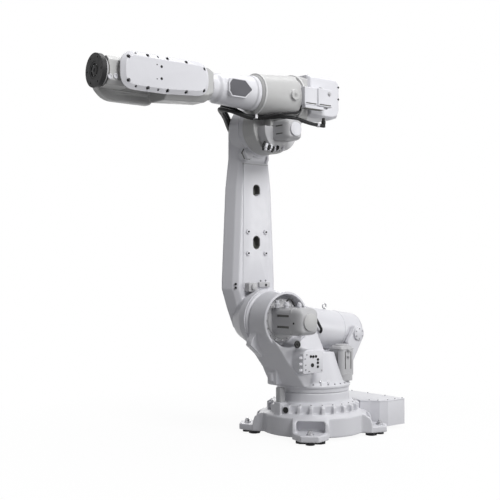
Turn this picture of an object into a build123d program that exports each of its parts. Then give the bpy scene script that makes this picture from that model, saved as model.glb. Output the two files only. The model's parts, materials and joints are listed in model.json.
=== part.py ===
"""Six-axis floor-mounted industrial robot arm, reach about 2.8 m, all axes at zero.

Millimetres. The origin is on the floor on axis 1. +X is the way the arm reaches, +Y is the
robot's left and +Z is up. The lower arm stands on the right side of the turret, and the
upper arm lies over the middle, so that it can fold past the lower arm.
"""

import os
from math import atan2, cos, radians, sin, tan

from build123d import *

# Joint axes
SHOULDER_X = 320.0
SHOULDER_Z = 780.0
LOWER_ARM_LENGTH = 1280.0
UPPER_ARM_OFFSET = 200.0
UPPER_ARM_LENGTH = 1182.5
WRIST_TO_FLANGE = 200.0
ELBOW_Z = SHOULDER_Z + LOWER_ARM_LENGTH
FOREARM_Z = ELBOW_Z + UPPER_ARM_OFFSET
WRIST_X = SHOULDER_X + UPPER_ARM_LENGTH
FLANGE_X = WRIST_X + WRIST_TO_FLANGE

# Running gaps, and the sides of small round pieces (twice as many for larger ones)
BEARING_GAP = 0.3
MOVING_GAP = 6.0
ROUND_SIDES = 12

# Base casting
PAD_HEIGHT = 21.0
DRUM_RADIUS = 349.0
DRUM_TOP_Z = 146.0
NECK_RADIUS = 247.0
NECK_FOOT_Z = 236.0
SEAM_Z = 297.0
RIB_RADIUS = 314.0
RIB_FOOT_Z = 168.0
RIB_TOP_Z = 212.0
FOOT_COUNT = 4
FOOT_TIP_RADIUS = 500.0
FOOT_WIDTH = 236.0
FOOT_WEB = 24.0
FOOT_WEB_SHOULDER = 6.0
FOOT_ROOT_DEPTH = 75.0
FOOT_TOE_HEIGHT = 42.0
FOOT_TOP_RADIUS = 395.0
FOOT_HOLLOW_TOP_Z = 134.0
FOOT_HOLLOW_DEPTH = 40.0
FOOT_HOLLOW_CORNER = 18.0
POCKET_COUNT = 24
POCKET_WIDTH = 56.0
POCKET_DEPTH = 30.0
PLAIN_FRONT_ANGLE = 18.0
PLAIN_REAR_ANGLE = 140.0
PAD_RADIUS = 395.0
PAD_WIDTH = 190.0
PAD_LENGTH = 75.0
PAD_CORNER = 26.0
PAD_LUG_RADIUS = 30.0
FOOT_BOLT_RADIUS = 452.0
FOOT_BOLT_HOLE = 27.0

# Connector box behind the base. The flank gives x and the share of the half width there.
BOX_REAR_X = -644.0
BOX_HALF_WIDTH = 262.0
BOX_TOP_Z = 205.0
BOX_LID = 9.0
BOX_BOTTOM_Z = 26.0
BOX_FLANK = [
    (-200, 0.34),
    (-292, 0.41),
    (-372, 0.71),
    (-412, 0.9),
    (-470, 1.0),
    (BOX_REAR_X, 1.0),
]

# Axis 1 stop and the plug beside it
STOP_PIN_X = 305.0
STOP_PIN_Y = 14.0
STOP_PIN_WIDTH = 46.0
STOP_PIN_CORNER = 8.0
STOP_PIN_TOP_Z = SEAM_Z + 36.0
STOP_PAD_TOP_Z = 238.0
STOP_PAD_WIDTH = 64.0
BASE_PLUG_ANGLE = 13.0
BASE_PLUG_Z = 190.0
BASE_PLUG_RADIUS = 20.0
BASE_PLUG_HEIGHT = 12.0

# Turret
TURRET_LIP_Z = SEAM_Z + 48.0
TURRET_LIP_RADIUS = 255.0
LIP_DROP = 16.0
LIP_RISE = 18.0
SHOULDER_SEAM_Y = -66.0
SHOULDER_SEAM_RADIUS = 177.0
HOUSING_RADIUS = 190.0
HOUSING_FACE_Y = 96.0
HOUSING_WALL = 18.0
MOTOR_RECESS_FLOOR_Y = 14.0
RECESS_BOTTOM_Z = SHOULDER_Z - 125.0
RECESS_CORNER = 40.0
RECESS_BOTTOM_REACH = 96.0
SIDE_WALL_FOOT_Y = 160.0
SIDE_WALL_TOP_Z = SHOULDER_Z - 5.0
SHOULDER_CROWN = 70.0
SIDE_WALL_RISE = 20.0
HOUSING_EASE = 2.0
HORN_INNER_Y = -10.0
STRUT_TOP_X = 100.0
STRUT_FOOT_X = -62.0
STRUT_TAPER = 22.0
SKIRT_TOP_RADIUS = 165.0
TURRET_PLUG_X = 250.0
TURRET_PLUG_Z = SHOULDER_Z - 158.0
TURRET_PLUG_RADIUS = 25.0
TURRET_PLUG_HEIGHT = 8.0

# Heights on the turret, as shares of the way up from its lip to axis 2
STRUT_FOOT_SHARE = 0.122
STRUT_TOP_SHARE = 0.31
SKIRT_TOP_SHARE = 0.494
EAR_BLOCK_SHARE = 0.138
AXIS_1_MOTOR_SHARE = 0.598
BALANCER_FRONT_SHARE = 0.871
BALANCER_REAR_SHARE = 0.706

# Front of the turret and its horn: x, and the share of the way up
SEAM_SIDE_FRONT = [(328, 0), (397, 0.297), (474, 0.52), (505, 0.701)]
WALL_SIDE_FRONT = [(225, 0), (310, 0.264), (388, 0.529), (444, 0.724)]
HORN = [(440, 0.448), (536, 0.63), (532, 0.697), (484, 0.867), (420, 0.867)]

# Motors and gear units
MOTOR_CAP = 12.0
MOTOR_FLANGE = 8.0
MOTOR_CORNER_SHARE = 0.17
GEAR_UNIT_RADIUS = 146.0
GEAR_UNIT_DEPTH = 36.0
SHOULDER_MOTOR_END_Y = 330.0
SHOULDER_MOTOR_SIDE = 178.0
SHOULDER_MOTOR_CAP_RADIUS = 56.0
AXIS_1_MOTOR_X = -134.0
AXIS_1_MOTOR_Y = 142.0
AXIS_1_MOTOR_RADIUS = 66.0
AXIS_1_FLANGE_HEIGHT = 50.0
ELBOW_MOTOR_END_Y = 193.0
ELBOW_MOTOR_SIDE = 138.0
ELBOW_MOTOR_DROP = 30.0
ELBOW_MOTOR_CAP_RADIUS = 46.0
GEAR_3_RADIUS = 140.0
GEAR_3_DROP = 20.0
AXIS_4_MOTOR_FRONT_X = SHOULDER_X - 87.0
AXIS_4_MOTOR_REAR_X = SHOULDER_X - 325.0
AXIS_4_MOTOR_WIDTH = 94.0
AXIS_4_MOTOR_HEIGHT = 120.0
MOTOR_4_INNER_Y = 84.0
MOTOR_4_REAR_Y = 93.0
MOTOR_4_RAISE = 2.0

# Connector boss on the turret's left side
BOSS_X = 232.0
BOSS_Z = SHOULDER_Z - 268.0
BOSS_RADIUS = 84.0
BOSS_FACE_Y = 222.0
PLATE_WIDTH = 176.0
PLATE_HEIGHT = 138.0
PLATE_FACE_Y = 256.0
PLATE_CORNER = 8.0

# Balancing cylinder
BALANCER_Y = -58.0
BALANCER_RADIUS = 146.0
BALANCER_FRONT_X = 72.0
BALANCER_REAR_X = -428.0
BALANCER_PIVOT_X = -316.0
BALANCER_ROOM = 8.0
BALANCER_CAP = 38.0
BALANCER_CAP_TAPER = 40.0
TRUNNION_COVER_RADIUS = 46.0
TRUNNION_COVER_THICKNESS = 12.0
EYE_X = -165.0
EYE_RADIUS = 22.0
EYE_THICKNESS = 14.0
EYE_LIFT = 2.2
EAR_THICKNESS = 34.0
EAR_GAP = 2.0
EAR_FRONT_X = -216.0
EAR_REAR_X = -264.0
EAR_HEAD = 56.0
EAR_LEG = 200.0
EAR_BLOCK_X = -110.0
EAR_BLOCK_Y = -88.0
EAR_BLOCK_LENGTH = 300.0
EAR_BLOCK_WIDTH = 304.0

# Lower arm, seen from the side its outline is symmetric about the axes' line
ARM_NEAR_Y = -220.0
ARM_SHOULDER_Y = -250.0
ARM_FAR_Y = -350.0
ARM_FAR_EDGE = 26.0
ARM_EDGE = 32.0
ARM_DRAFT = 34.0
ELBOW_SEAM_Y = -160.0
ELBOW_SEAM_RADIUS = 172.0
SHOULDER_HUB_RADIUS = 198.0
ELBOW_HUB_RADIUS = 178.0
HUB_STEP = 10.0
HUB_ROUNDING = 52.0
ARM_TOP_HALF = 128.0
ARM_MIDDLE_HALF = 154.0
ARM_BOTTOM_HALF = 184.0
ARM_LOW_HALF = 138.0
ARM_FOOT_HALF = 83.0
ARM_FOOT_Z = SHOULDER_Z - 64.0
ARM_LOW_Z = SHOULDER_Z + 68.0
ARM_WIDEST_Z = SHOULDER_Z + 201.0
ARM_BOTTOM_Z = SHOULDER_Z + 255.0
ARM_MIDDLE_Z = ELBOW_Z - 396.0
ARM_NECK_DROP = 190.0
ARM_CROWN_SHARE = 0.62
ARM_CROWN_RISE = 136.0
WINDOW_WIDTH = 66.0
WINDOW_HEIGHT = 97.0
WINDOW_DEPTH = 60.0
WINDOW_TOP_Z = ELBOW_Z - 395.0
WINDOW_LOW_Z = SHOULDER_Z + 518.0
CLAMP_BOSS_X = 77.0
CLAMP_BOSS_Z = 73.0
CLAMP_BOSS_RADIUS = 15.0
CLAMP_BOSS_HEIGHT = 14.0
BUFFER_X = 100.0
BUFFER_Z = ELBOW_Z - 167.0
BUFFER_RADIUS = 44.0
BUFFER_HEIGHT = 22.0
PLATE_STEP = 8.0
RAISED_PLATE_Z = ELBOW_Z - 160.0
RAISED_PLATE_WIDTH = 190.0
RAISED_PLATE_HEIGHT = 104.0

# Upper arm
ROLL_SEAM_X = SHOULDER_X + 221.0
ROLL_SEAM_RADIUS = 116.0
ROLL_FLANGE = 14.0
HOUSING_FRONT_RADIUS = 128.0
HOUSING_REAR_RADIUS = 158.0
HOUSING_REAR_X = SHOULDER_X - 120.0
HOUSING_PAD_X = SHOULDER_X - 24.0
HOUSING_PAD_RADIUS = 34.0
HOUSING_PAD_HEIGHT = 3.0
COVER_REAR_X = SHOULDER_X - 502.0
COVER_FRONT_X = SHOULDER_X - 200.0
COVER_TOP_Z = FOREARM_Z + 172.0
COVER_BOTTOM_Z = FOREARM_Z - 117.0
COVER_HALF_WIDTH = 92.0
COVER_CORNER = 76.0
COVER_BEVEL = 24.0
COVER_BEVEL_TAPER = 40.0
ELBOW_HUB_FACE_Y = -36.0
NECK_FRONT = 90.0
NECK_REAR = 130.0
NECK_FACE_Y = 40.0

# Forearm tube and wrist
TUBE_RADIUS = 108.0
TUBE_COLLAR = 30.0
TUBE_FRONT_RADIUS = 95.0
TUBE_NECK_LENGTH = 43.0
TUBE_STEP_LENGTH = 22.0
TUBE_NECK_RADIUS = 82.0
PANEL_SETBACK = 81.0
PANEL_LENGTH = 179.0
PANEL_POINT = 58.0
PANEL_NOSE = 20.0
PANEL_HALF = 51.0
PANEL_THICKNESS = 4.0
POD_FACE_Y = 106.0
POD_MARGIN = 8.0
FOREARM_SPLIT_SHARE = 0.3786
WRIST_REAR_X = ROLL_SEAM_X + FOREARM_SPLIT_SHARE * (WRIST_X - ROLL_SEAM_X)
WRIST_BELLY_X = WRIST_REAR_X + 57.0
WRIST_SLOT_X = WRIST_X - 234.0
WRIST_ROOT_HALF = 80.0
WRIST_ROOT_BEVEL = 35.0
WRIST_TOP = 98.0
BELLY_DROP = 112.0
SLOT_DROP = 132.0
BELLY_BEVEL = 42.0
SLOT_BEVEL = 34.0
FORK_GAP = 88.0
FORK_ARM_HALF = 85.0
COVER_INNER_Y = 98.0
WRIST_RIM_Y = 106.0
WRIST_COVER_Y = 124.0
WRIST_COVER_HALF = 104.0
WRIST_COVER_REAR_X = WRIST_REAR_X + 60.0
WRIST_COVER_NOSE_X = WRIST_X + 89.5
WRIST_COVER_CORNER = 62.0
WRIST_COVER_TAPER = 56.0
WRIST_COVER_BEND_X = WRIST_X - 212.5
WRIST_COVER_RISE = 22.0
LOBE_INNER_Y = -106.0
LOBE_OUTER_Y = -164.0
LOBE_RADIUS = 139.0
LOBE_REAR_X = WRIST_X - 270.5
LOBE_SLOPE = 24.0
FAR_COVER_RADIUS = 96.0
FAR_COVER_THICKNESS = 10.0

# Tilt and tool flange
TILT_RADIUS = 75.0
TILT_BLOCK_DROP = 82.0
TILT_BARREL_RADIUS = 78.0
TILT_BLOCK_TOP = 86.0
TILT_BLOCK_LENGTH = 150.0
TILT_CORNER = 26.0
TILT_PLUG_RADIUS = 16.0
TILT_PLUGS = [(102, -34), (140, -40)]
PLUG_THICKNESS = 6.0
FLANGE_RADIUS = 100.0
FLANGE_THICKNESS = 30.0
FLANGE_BORE_RADIUS = 50.0
FLANGE_BORE_DEPTH = 8.0
FLANGE_PCD = 160.0
FLANGE_BOLTS = 6
FLANGE_BOLT_RADIUS = 5.1
FLANGE_BOLT_DEPTH = 18.0

# Cables and their clamps
CABLE_RADIUS = 11.0
THIN_CABLE_RADIUS = 7.0
CABLE_PIECES = 18
CLAMP_X = ROLL_SEAM_X - 27.0
CABLE_SPACING = 28.0
CABLE_DROP = 148.0
CLAMP_Y = -12.0
CLAMP_THICKNESS = 20.0
HOUSING_CLAMP_WIDTH = 64.0
HOUSING_CLAMP_HEIGHT = 34.0
FAR_CLAMP_X = SHOULDER_X + 30.0
FAR_CLAMP_Z = ELBOW_Z - 140.0
FAR_CLAMP_WIDTH = 90.0
FAR_CLAMP_DEPTH = 44.0
FAR_CLAMP_HEIGHT = 50.0
MOTOR_4_CABLE_X = SHOULDER_X - 110.0
MOTOR_4_CABLE_Y = 124.0
FAR_CABLE_Y = ARM_FAR_Y - 26.0
CABLE_END = 14.0

# Bends of the cables, from the axis of the elbow
ELBOW_CABLE = [
    (256, -38, 66),
    (300, -72, 100),
    (340, -122, 126),
    (332, -186, 134),
    (224, -272, 108),
    (138, -366, 60),
    (54, -388, 0),
    (18, -380, -60),
]
OTHER_ELBOW_CABLE = [
    (260, -4, 54),
    (308, -34, 68),
    (350, -84, 90),
    (352, -160, 104),
    (252, -270, 74),
    (156, -366, 18),
    (80, -388, -38),
    (50, -380, -78),
]
HOUSING_CABLE = [
    (132, 14, 50),
    (78, 66, 56),
    (10, 86, 59),
    (-80, 104, 57),
    (-180, 112, 34),
    (-280, 112, 28),
    (-320, 112, 28),
]
MOTOR_4_CABLE = [
    (134, 56, 56),
    (80, 100, 72),
    (-10, 124, 84),
    (-80, 124, 90),
]


def side_plane(y):
    """A plane facing -Y at this y, with X to the right and Z up: extrude goes towards -Y."""
    return Plane(origin=(0, y, 0), x_dir=(1, 0, 0), z_dir=(0, -1, 0))


def front_plane(x):
    """A plane facing +X at this x, with Y to the right and Z up."""
    return Plane(origin=(x, 0, 0), x_dir=(0, 1, 0), z_dir=(1, 0, 0))


def radial_plane(angle, radius, z):
    """A level plane at this place round axis 1, with its X pointing outwards."""
    turn = radians(angle)
    return Plane(
        origin=(radius * cos(turn), radius * sin(turn), z),
        x_dir=(cos(turn), sin(turn), 0),
        z_dir=(0, 0, 1),
    )


def outward_plane(angle, radius):
    """An upright plane at this radius from axis 1, facing outwards, with Z up."""
    turn = radians(angle)
    return Plane(
        origin=(radius * cos(turn), radius * sin(turn), 0),
        x_dir=(-sin(turn), cos(turn), 0),
        z_dir=(cos(turn), sin(turn), 0),
    )


def outline(plane, points):
    """A closed outline with straight sides, drawn on a plane."""
    with BuildSketch(plane) as drawn:
        with BuildLine():
            Polyline(*points, close=True)
        make_face()
    return drawn.sketch


def save(builder, label):
    """Label a finished piece and write its file."""
    builder.part.label = label
    export_step(builder.part, f"parts/{label}.step")


os.makedirs("parts", exist_ok=True)

# Base casting: a drum with four feet, a ribbed shoulder and a neck

FOOT_ANGLES = [45 + 90 * i for i in range(FOOT_COUNT)]
FOOT_ROOT_RADIUS = DRUM_RADIUS - FOOT_ROOT_DEPTH
FOOT_TOE_TOP_Z = PAD_HEIGHT + FOOT_TOE_HEIGHT

with BuildPart() as base_casting:
    with BuildSketch(Plane.XZ):
        with BuildLine():
            Polyline(
                (0, PAD_HEIGHT),
                (DRUM_RADIUS, PAD_HEIGHT),
                (DRUM_RADIUS, DRUM_TOP_Z),
                (RIB_RADIUS, RIB_FOOT_Z),
                (RIB_RADIUS, RIB_TOP_Z),
                (NECK_RADIUS, NECK_FOOT_Z),
                (NECK_RADIUS, SEAM_Z),
                (0, SEAM_Z),
                close=True,
            )
        make_face()
    revolve(axis=Axis.Z)
    # Each foot is a toe plate and two webs that climb to the top of the drum
    for angle in FOOT_ANGLES:
        toe = [
            (FOOT_ROOT_RADIUS, -FOOT_WIDTH / 2),
            (FOOT_TOP_RADIUS, -FOOT_WIDTH / 2),
            (FOOT_TIP_RADIUS, -FOOT_WIDTH / 4),
            (FOOT_TIP_RADIUS, FOOT_WIDTH / 4),
            (FOOT_TOP_RADIUS, FOOT_WIDTH / 2),
            (FOOT_ROOT_RADIUS, FOOT_WIDTH / 2),
        ]
        extrude(outline(radial_plane(angle, 0, PAD_HEIGHT), toe), amount=FOOT_TOE_HEIGHT)
        web = [
            (FOOT_ROOT_RADIUS, PAD_HEIGHT),
            (FOOT_TOP_RADIUS + FOOT_WEB_SHOULDER, PAD_HEIGHT),
            (FOOT_TOP_RADIUS + FOOT_WEB_SHOULDER, FOOT_TOE_TOP_Z + FOOT_WEB),
            (FOOT_TOP_RADIUS - FOOT_WEB_SHOULDER, DRUM_TOP_Z - FOOT_WEB),
            (DRUM_RADIUS, DRUM_TOP_Z),
            (FOOT_ROOT_RADIUS, DRUM_TOP_Z),
        ]
        turn = radians(angle)
        foot_side = Plane(
            origin=(0, 0, 0),
            x_dir=(cos(turn), sin(turn), 0),
            z_dir=(sin(turn), -cos(turn), 0),
        )
        extrude(outline(foot_side, web), amount=FOOT_WIDTH / 2, both=True)
        # The hollow between the webs, over the toe
        with BuildSketch(outward_plane(angle, FOOT_TIP_RADIUS)):
            with Locations((0, (FOOT_HOLLOW_TOP_Z + FOOT_TOE_TOP_Z) / 2)):
                RectangleRounded(
                    FOOT_WIDTH - 2 * FOOT_WEB, FOOT_HOLLOW_TOP_Z - FOOT_TOE_TOP_Z, FOOT_HOLLOW_CORNER
                )
        extrude(amount=DRUM_RADIUS - FOOT_HOLLOW_DEPTH - FOOT_TIP_RADIUS, mode=Mode.SUBTRACT)
        with Locations(radial_plane(angle, FOOT_BOLT_RADIUS, FOOT_TOE_TOP_Z)):
            Hole(FOOT_BOLT_HOLE / 2, depth=FOOT_TOE_HEIGHT)
    # Pockets between the upright ribs of the shoulder
    for i in range(POCKET_COUNT):
        turn = 360 / POCKET_COUNT * (i + 0.5)
        from_front = min(turn, 360 - turn)
        if PLAIN_FRONT_ANGLE < from_front < PLAIN_REAR_ANGLE:
            with BuildSketch(outward_plane(turn, RIB_RADIUS - POCKET_DEPTH)):
                with Locations((0, (RIB_FOOT_Z + NECK_FOOT_Z) / 2)):
                    Rectangle(POCKET_WIDTH, NECK_FOOT_Z - RIB_FOOT_Z)
            extrude(amount=DRUM_RADIUS - RIB_RADIUS + POCKET_DEPTH, mode=Mode.SUBTRACT)
    # Pad under the stop pin of axis 1
    with BuildSketch(Plane.XY.offset(DRUM_TOP_Z - POCKET_DEPTH)):
        with Locations((STOP_PIN_X, STOP_PIN_Y)):
            Rectangle(STOP_PAD_WIDTH, STOP_PAD_WIDTH)
    extrude(amount=STOP_PAD_TOP_Z - DRUM_TOP_Z + POCKET_DEPTH)
save(base_casting, "base_casting")

# Each levelling pad has a lug through which the foot's floor bolt goes
with BuildPart() as levelling_pads:
    for angle in FOOT_ANGLES:
        with BuildSketch(radial_plane(angle, PAD_RADIUS, 0)):
            Rectangle(PAD_LENGTH, PAD_WIDTH)
            chamfer(vertices(), PAD_CORNER)
            with Locations((FOOT_BOLT_RADIUS - PAD_RADIUS, 0)):
                Circle(PAD_LUG_RADIUS)
                Circle(FOOT_BOLT_HOLE / 2, mode=Mode.SUBTRACT)
        extrude(amount=PAD_HEIGHT)
save(levelling_pads, "levelling_pads")

# Black plug on the shoulder beside the stop pin
with BuildPart() as base_oil_plug:
    with BuildSketch(outward_plane(BASE_PLUG_ANGLE, RIB_RADIUS + BEARING_GAP)):
        with Locations((0, BASE_PLUG_Z)):
            RegularPolygon(BASE_PLUG_RADIUS, ROUND_SIDES)
    extrude(amount=BASE_PLUG_HEIGHT)
save(base_oil_plug, "base_oil_plug")

# Connector box: runs from the drum to the rear between the rear feet, with a flat lid
BOX_RIGHT_SIDE = [(x, -BOX_HALF_WIDTH * share) for x, share in BOX_FLANK]
BOX_LEFT_SIDE = [(x, -y) for x, y in reversed(BOX_RIGHT_SIDE)]

with BuildPart() as connector_box:
    extrude(
        outline(Plane.XY.offset(BOX_BOTTOM_Z), BOX_RIGHT_SIDE + BOX_LEFT_SIDE),
        amount=BOX_TOP_Z - BOX_LID - BOX_BOTTOM_Z,
    )
    with BuildSketch(Plane.XY):
        Circle(DRUM_RADIUS + BEARING_GAP)
    extrude(amount=BOX_TOP_Z, mode=Mode.SUBTRACT)
save(connector_box, "connector_box")

with BuildPart() as box_lid:
    extrude(
        outline(Plane.XY.offset(BOX_TOP_Z - BOX_LID), BOX_RIGHT_SIDE + BOX_LEFT_SIDE),
        amount=BOX_LID,
    )
    with BuildSketch(Plane.XY):
        Circle(DRUM_RADIUS + BEARING_GAP)
    extrude(amount=BOX_TOP_Z, mode=Mode.SUBTRACT)
save(box_lid, "box_lid")

# Stop pin of axis 1
with BuildPart() as axis_1_stop_pin:
    with BuildSketch(Plane.XY.offset(STOP_PAD_TOP_Z)):
        with Locations((STOP_PIN_X, STOP_PIN_Y)):
            Rectangle(STOP_PIN_WIDTH, STOP_PIN_WIDTH)
        chamfer(vertices(), STOP_PIN_CORNER)
    extrude(amount=STOP_PIN_TOP_Z - STOP_PAD_TOP_Z)
save(axis_1_stop_pin, "axis_1_stop_pin")


def level(share):
    """The height at this share of the way from the turret's lip to axis 2."""
    return TURRET_LIP_Z + share * (SHOULDER_Z - TURRET_LIP_Z)


# Line of the balancing cylinder and the place of its trunnions
BALANCER_FRONT_Z = level(BALANCER_FRONT_SHARE)
BALANCER_REAR_Z = level(BALANCER_REAR_SHARE)
AXIS_1_MOTOR_TOP_Z = level(AXIS_1_MOTOR_SHARE)
SKIRT_TOP_Z = level(SKIRT_TOP_SHARE)
BALANCER_SLOPE = atan2(BALANCER_FRONT_Z - BALANCER_REAR_Z, BALANCER_FRONT_X - BALANCER_REAR_X)
BALANCER_LENGTH = (BALANCER_FRONT_X - BALANCER_REAR_X) / cos(BALANCER_SLOPE)
PIVOT_Z = BALANCER_FRONT_Z - (BALANCER_FRONT_X - BALANCER_PIVOT_X) * tan(BALANCER_SLOPE)
EAR_REACH = BALANCER_RADIUS + EAR_GAP
MOTOR_1_SEAT_Z = TURRET_LIP_Z + LIP_RISE

# The side wall leans outwards towards its foot
WALL_LEAN = atan2(SIDE_WALL_FOOT_Y - HOUSING_FACE_Y, SIDE_WALL_TOP_Z - TURRET_LIP_Z)


def wall_plane(x, z):
    """A plane on the leaning side wall at this x and z, facing into the turret."""
    return Plane(
        origin=(x, HOUSING_FACE_Y + (SIDE_WALL_TOP_Z - z) * tan(WALL_LEAN), z),
        x_dir=(1, 0, 0),
        z_dir=(0, -cos(WALL_LEAN), -sin(WALL_LEAN)),
    )


def on_wall(x, z):
    """A point of the side view at x and z, in the leaning wall's own plane."""
    return (x, (z - SIDE_WALL_TOP_Z) / cos(WALL_LEAN))


# Turret casting: ring, skirt, leaning body with the shoulder drum, horn and rear ears
with BuildPart() as turret_casting:
    with BuildSketch(Plane.XZ):
        with BuildLine():
            Polyline(
                (0, SEAM_Z + BEARING_GAP),
                (NECK_RADIUS, SEAM_Z + BEARING_GAP),
                (NECK_RADIUS, TURRET_LIP_Z - LIP_DROP),
                (TURRET_LIP_RADIUS, TURRET_LIP_Z - LIP_DROP),
                (TURRET_LIP_RADIUS, TURRET_LIP_Z),
                (NECK_RADIUS - LIP_RISE, MOTOR_1_SEAT_Z),
                (SKIRT_TOP_RADIUS, SKIRT_TOP_Z),
                (0, SKIRT_TOP_Z),
                close=True,
            )
        make_face()
    revolve(axis=Axis.Z)
    # Body: from the flat seam of axis 2 out to the leaning side wall
    housing_half = HOUSING_RADIUS - HOUSING_EASE
    seam_side = [(STRUT_FOOT_X + STRUT_TAPER, TURRET_LIP_Z)]
    seam_side += [(x, level(share)) for x, share in SEAM_SIDE_FRONT]
    seam_side += [
        (SHOULDER_X + housing_half, SHOULDER_Z),
        (SHOULDER_X, SHOULDER_Z + SHOULDER_CROWN),
        (SHOULDER_X - housing_half, SHOULDER_Z),
        (STRUT_TOP_X, level(STRUT_TOP_SHARE)),
    ]
    wall_side = [on_wall(STRUT_FOOT_X, TURRET_LIP_Z)]
    wall_side += [on_wall(x, level(share)) for x, share in WALL_SIDE_FRONT]
    wall_side += [
        on_wall(SHOULDER_X + housing_half, SIDE_WALL_TOP_Z),
        on_wall(SHOULDER_X, SHOULDER_Z + SHOULDER_CROWN),
        on_wall(STRUT_TOP_X, SIDE_WALL_TOP_Z + SIDE_WALL_RISE),
        on_wall(STRUT_FOOT_X, level(STRUT_FOOT_SHARE)),
    ]
    loft(
        [
            outline(wall_plane(0, SIDE_WALL_TOP_Z), wall_side),
            outline(side_plane(SHOULDER_SEAM_Y + BEARING_GAP), seam_side),
        ],
        ruled=True,
    )
    with BuildSketch(side_plane(HOUSING_FACE_Y)):
        with Locations((SHOULDER_X, SHOULDER_Z)):
            Circle(HOUSING_RADIUS)
    extrude(amount=HOUSING_FACE_Y - SHOULDER_SEAM_Y - BEARING_GAP)
    # Horn at the front, which stops the lower arm
    horn = [(x, level(share)) for x, share in HORN]
    extrude(
        outline(side_plane(HORN_INNER_Y), horn),
        amount=HORN_INNER_Y - SHOULDER_SEAM_Y - BEARING_GAP,
    )
    # Recess of the axis 2 motor: round above, narrowing to a flat floor below
    recess_radius = HOUSING_RADIUS - HOUSING_WALL
    recess = [
        (SHOULDER_X + recess_radius, SHOULDER_Z),
        (SHOULDER_X - recess_radius, SHOULDER_Z),
        (SHOULDER_X - recess_radius, RECESS_BOTTOM_Z + RECESS_CORNER),
        (SHOULDER_X - recess_radius + RECESS_CORNER, RECESS_BOTTOM_Z),
        (SHOULDER_X + RECESS_BOTTOM_REACH, RECESS_BOTTOM_Z),
    ]
    recess_depth = SIDE_WALL_FOOT_Y - MOTOR_RECESS_FLOOR_Y
    extrude(outline(side_plane(SIDE_WALL_FOOT_Y), recess), amount=recess_depth, mode=Mode.SUBTRACT)
    with BuildSketch(side_plane(SIDE_WALL_FOOT_Y)):
        with Locations((SHOULDER_X, SHOULDER_Z)):
            Circle(recess_radius)
    extrude(amount=recess_depth, mode=Mode.SUBTRACT)
    # Room for the balancing cylinder behind the shoulder drum
    balancer_front = Plane(
        origin=(BALANCER_FRONT_X + BALANCER_ROOM, BALANCER_Y, BALANCER_FRONT_Z),
        x_dir=(0, 1, 0),
        z_dir=(-cos(BALANCER_SLOPE), 0, -sin(BALANCER_SLOPE)),
    )
    with BuildSketch(balancer_front):
        Circle(BALANCER_RADIUS + BALANCER_ROOM / 2)
    extrude(amount=BALANCER_LENGTH, mode=Mode.SUBTRACT)
    # Room for the axis 1 motor on the rear left of the ring
    with BuildSketch(Plane.XY.offset(MOTOR_1_SEAT_Z)):
        with Locations((AXIS_1_MOTOR_X, AXIS_1_MOTOR_Y)):
            Circle(AXIS_1_MOTOR_RADIUS + MOTOR_FLANGE + MOVING_GAP)
    extrude(amount=AXIS_1_MOTOR_TOP_Z - MOTOR_1_SEAT_Z + MOVING_GAP, mode=Mode.SUBTRACT)
    # Ears that carry the balancer's trunnions, on a block behind the skirt
    ear = [
        (EAR_FRONT_X, TURRET_LIP_Z),
        (EAR_REAR_X, TURRET_LIP_Z),
        (EAR_REAR_X, PIVOT_Z - EAR_LEG),
        (BALANCER_PIVOT_X - EAR_HEAD, PIVOT_Z - EAR_HEAD / 2),
        (BALANCER_PIVOT_X - EAR_HEAD, PIVOT_Z + EAR_HEAD / 2),
        (BALANCER_PIVOT_X - EAR_HEAD / 2, PIVOT_Z + EAR_HEAD),
        (BALANCER_PIVOT_X + EAR_HEAD / 2, PIVOT_Z + EAR_HEAD),
        (EAR_FRONT_X, PIVOT_Z - EAR_HEAD),
    ]
    for ear_y in (BALANCER_Y + EAR_REACH + EAR_THICKNESS, BALANCER_Y - EAR_REACH):
        extrude(outline(side_plane(ear_y), ear), amount=EAR_THICKNESS)
    with BuildSketch(Plane.XY.offset(TURRET_LIP_Z)):
        with Locations(((EAR_FRONT_X + EAR_REAR_X) / 2, BALANCER_Y)):
            Rectangle(EAR_FRONT_X - EAR_REAR_X, 2 * (EAR_REACH + EAR_THICKNESS))
        with Locations((EAR_BLOCK_X, EAR_BLOCK_Y)):
            Rectangle(EAR_BLOCK_LENGTH, EAR_BLOCK_WIDTH)
    extrude(amount=level(EAR_BLOCK_SHARE) - TURRET_LIP_Z)
    # Boss that carries the connector plate
    with BuildSketch(side_plane(BOSS_FACE_Y)):
        with Locations((BOSS_X, BOSS_Z)):
            Circle(BOSS_RADIUS)
    extrude(amount=BOSS_FACE_Y - HOUSING_FACE_Y)
save(turret_casting, "turret_casting")

with BuildPart() as turret_oil_plug:
    with BuildSketch(wall_plane(TURRET_PLUG_X, TURRET_PLUG_Z).offset(-BEARING_GAP)):
        RegularPolygon(TURRET_PLUG_RADIUS, ROUND_SIDES)
    extrude(amount=-TURRET_PLUG_HEIGHT)
save(turret_oil_plug, "turret_oil_plug")

with BuildPart() as connector_plate:
    with BuildSketch(side_plane(PLATE_FACE_Y)):
        with Locations((BOSS_X, BOSS_Z)):
            Rectangle(PLATE_WIDTH, PLATE_HEIGHT)
        chamfer(vertices(), PLATE_CORNER)
    extrude(amount=PLATE_FACE_Y - BOSS_FACE_Y)
save(connector_plate, "connector_plate")

GEAR_UNIT_FACE_Y = MOTOR_RECESS_FLOOR_Y + GEAR_UNIT_DEPTH
with BuildPart() as axis_2_gear_unit:
    with BuildSketch(side_plane(GEAR_UNIT_FACE_Y)):
        with Locations((SHOULDER_X, SHOULDER_Z)):
            RegularPolygon(GEAR_UNIT_RADIUS, 2 * ROUND_SIDES)
    extrude(amount=GEAR_UNIT_DEPTH)
save(axis_2_gear_unit, "axis_2_gear_unit")


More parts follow.
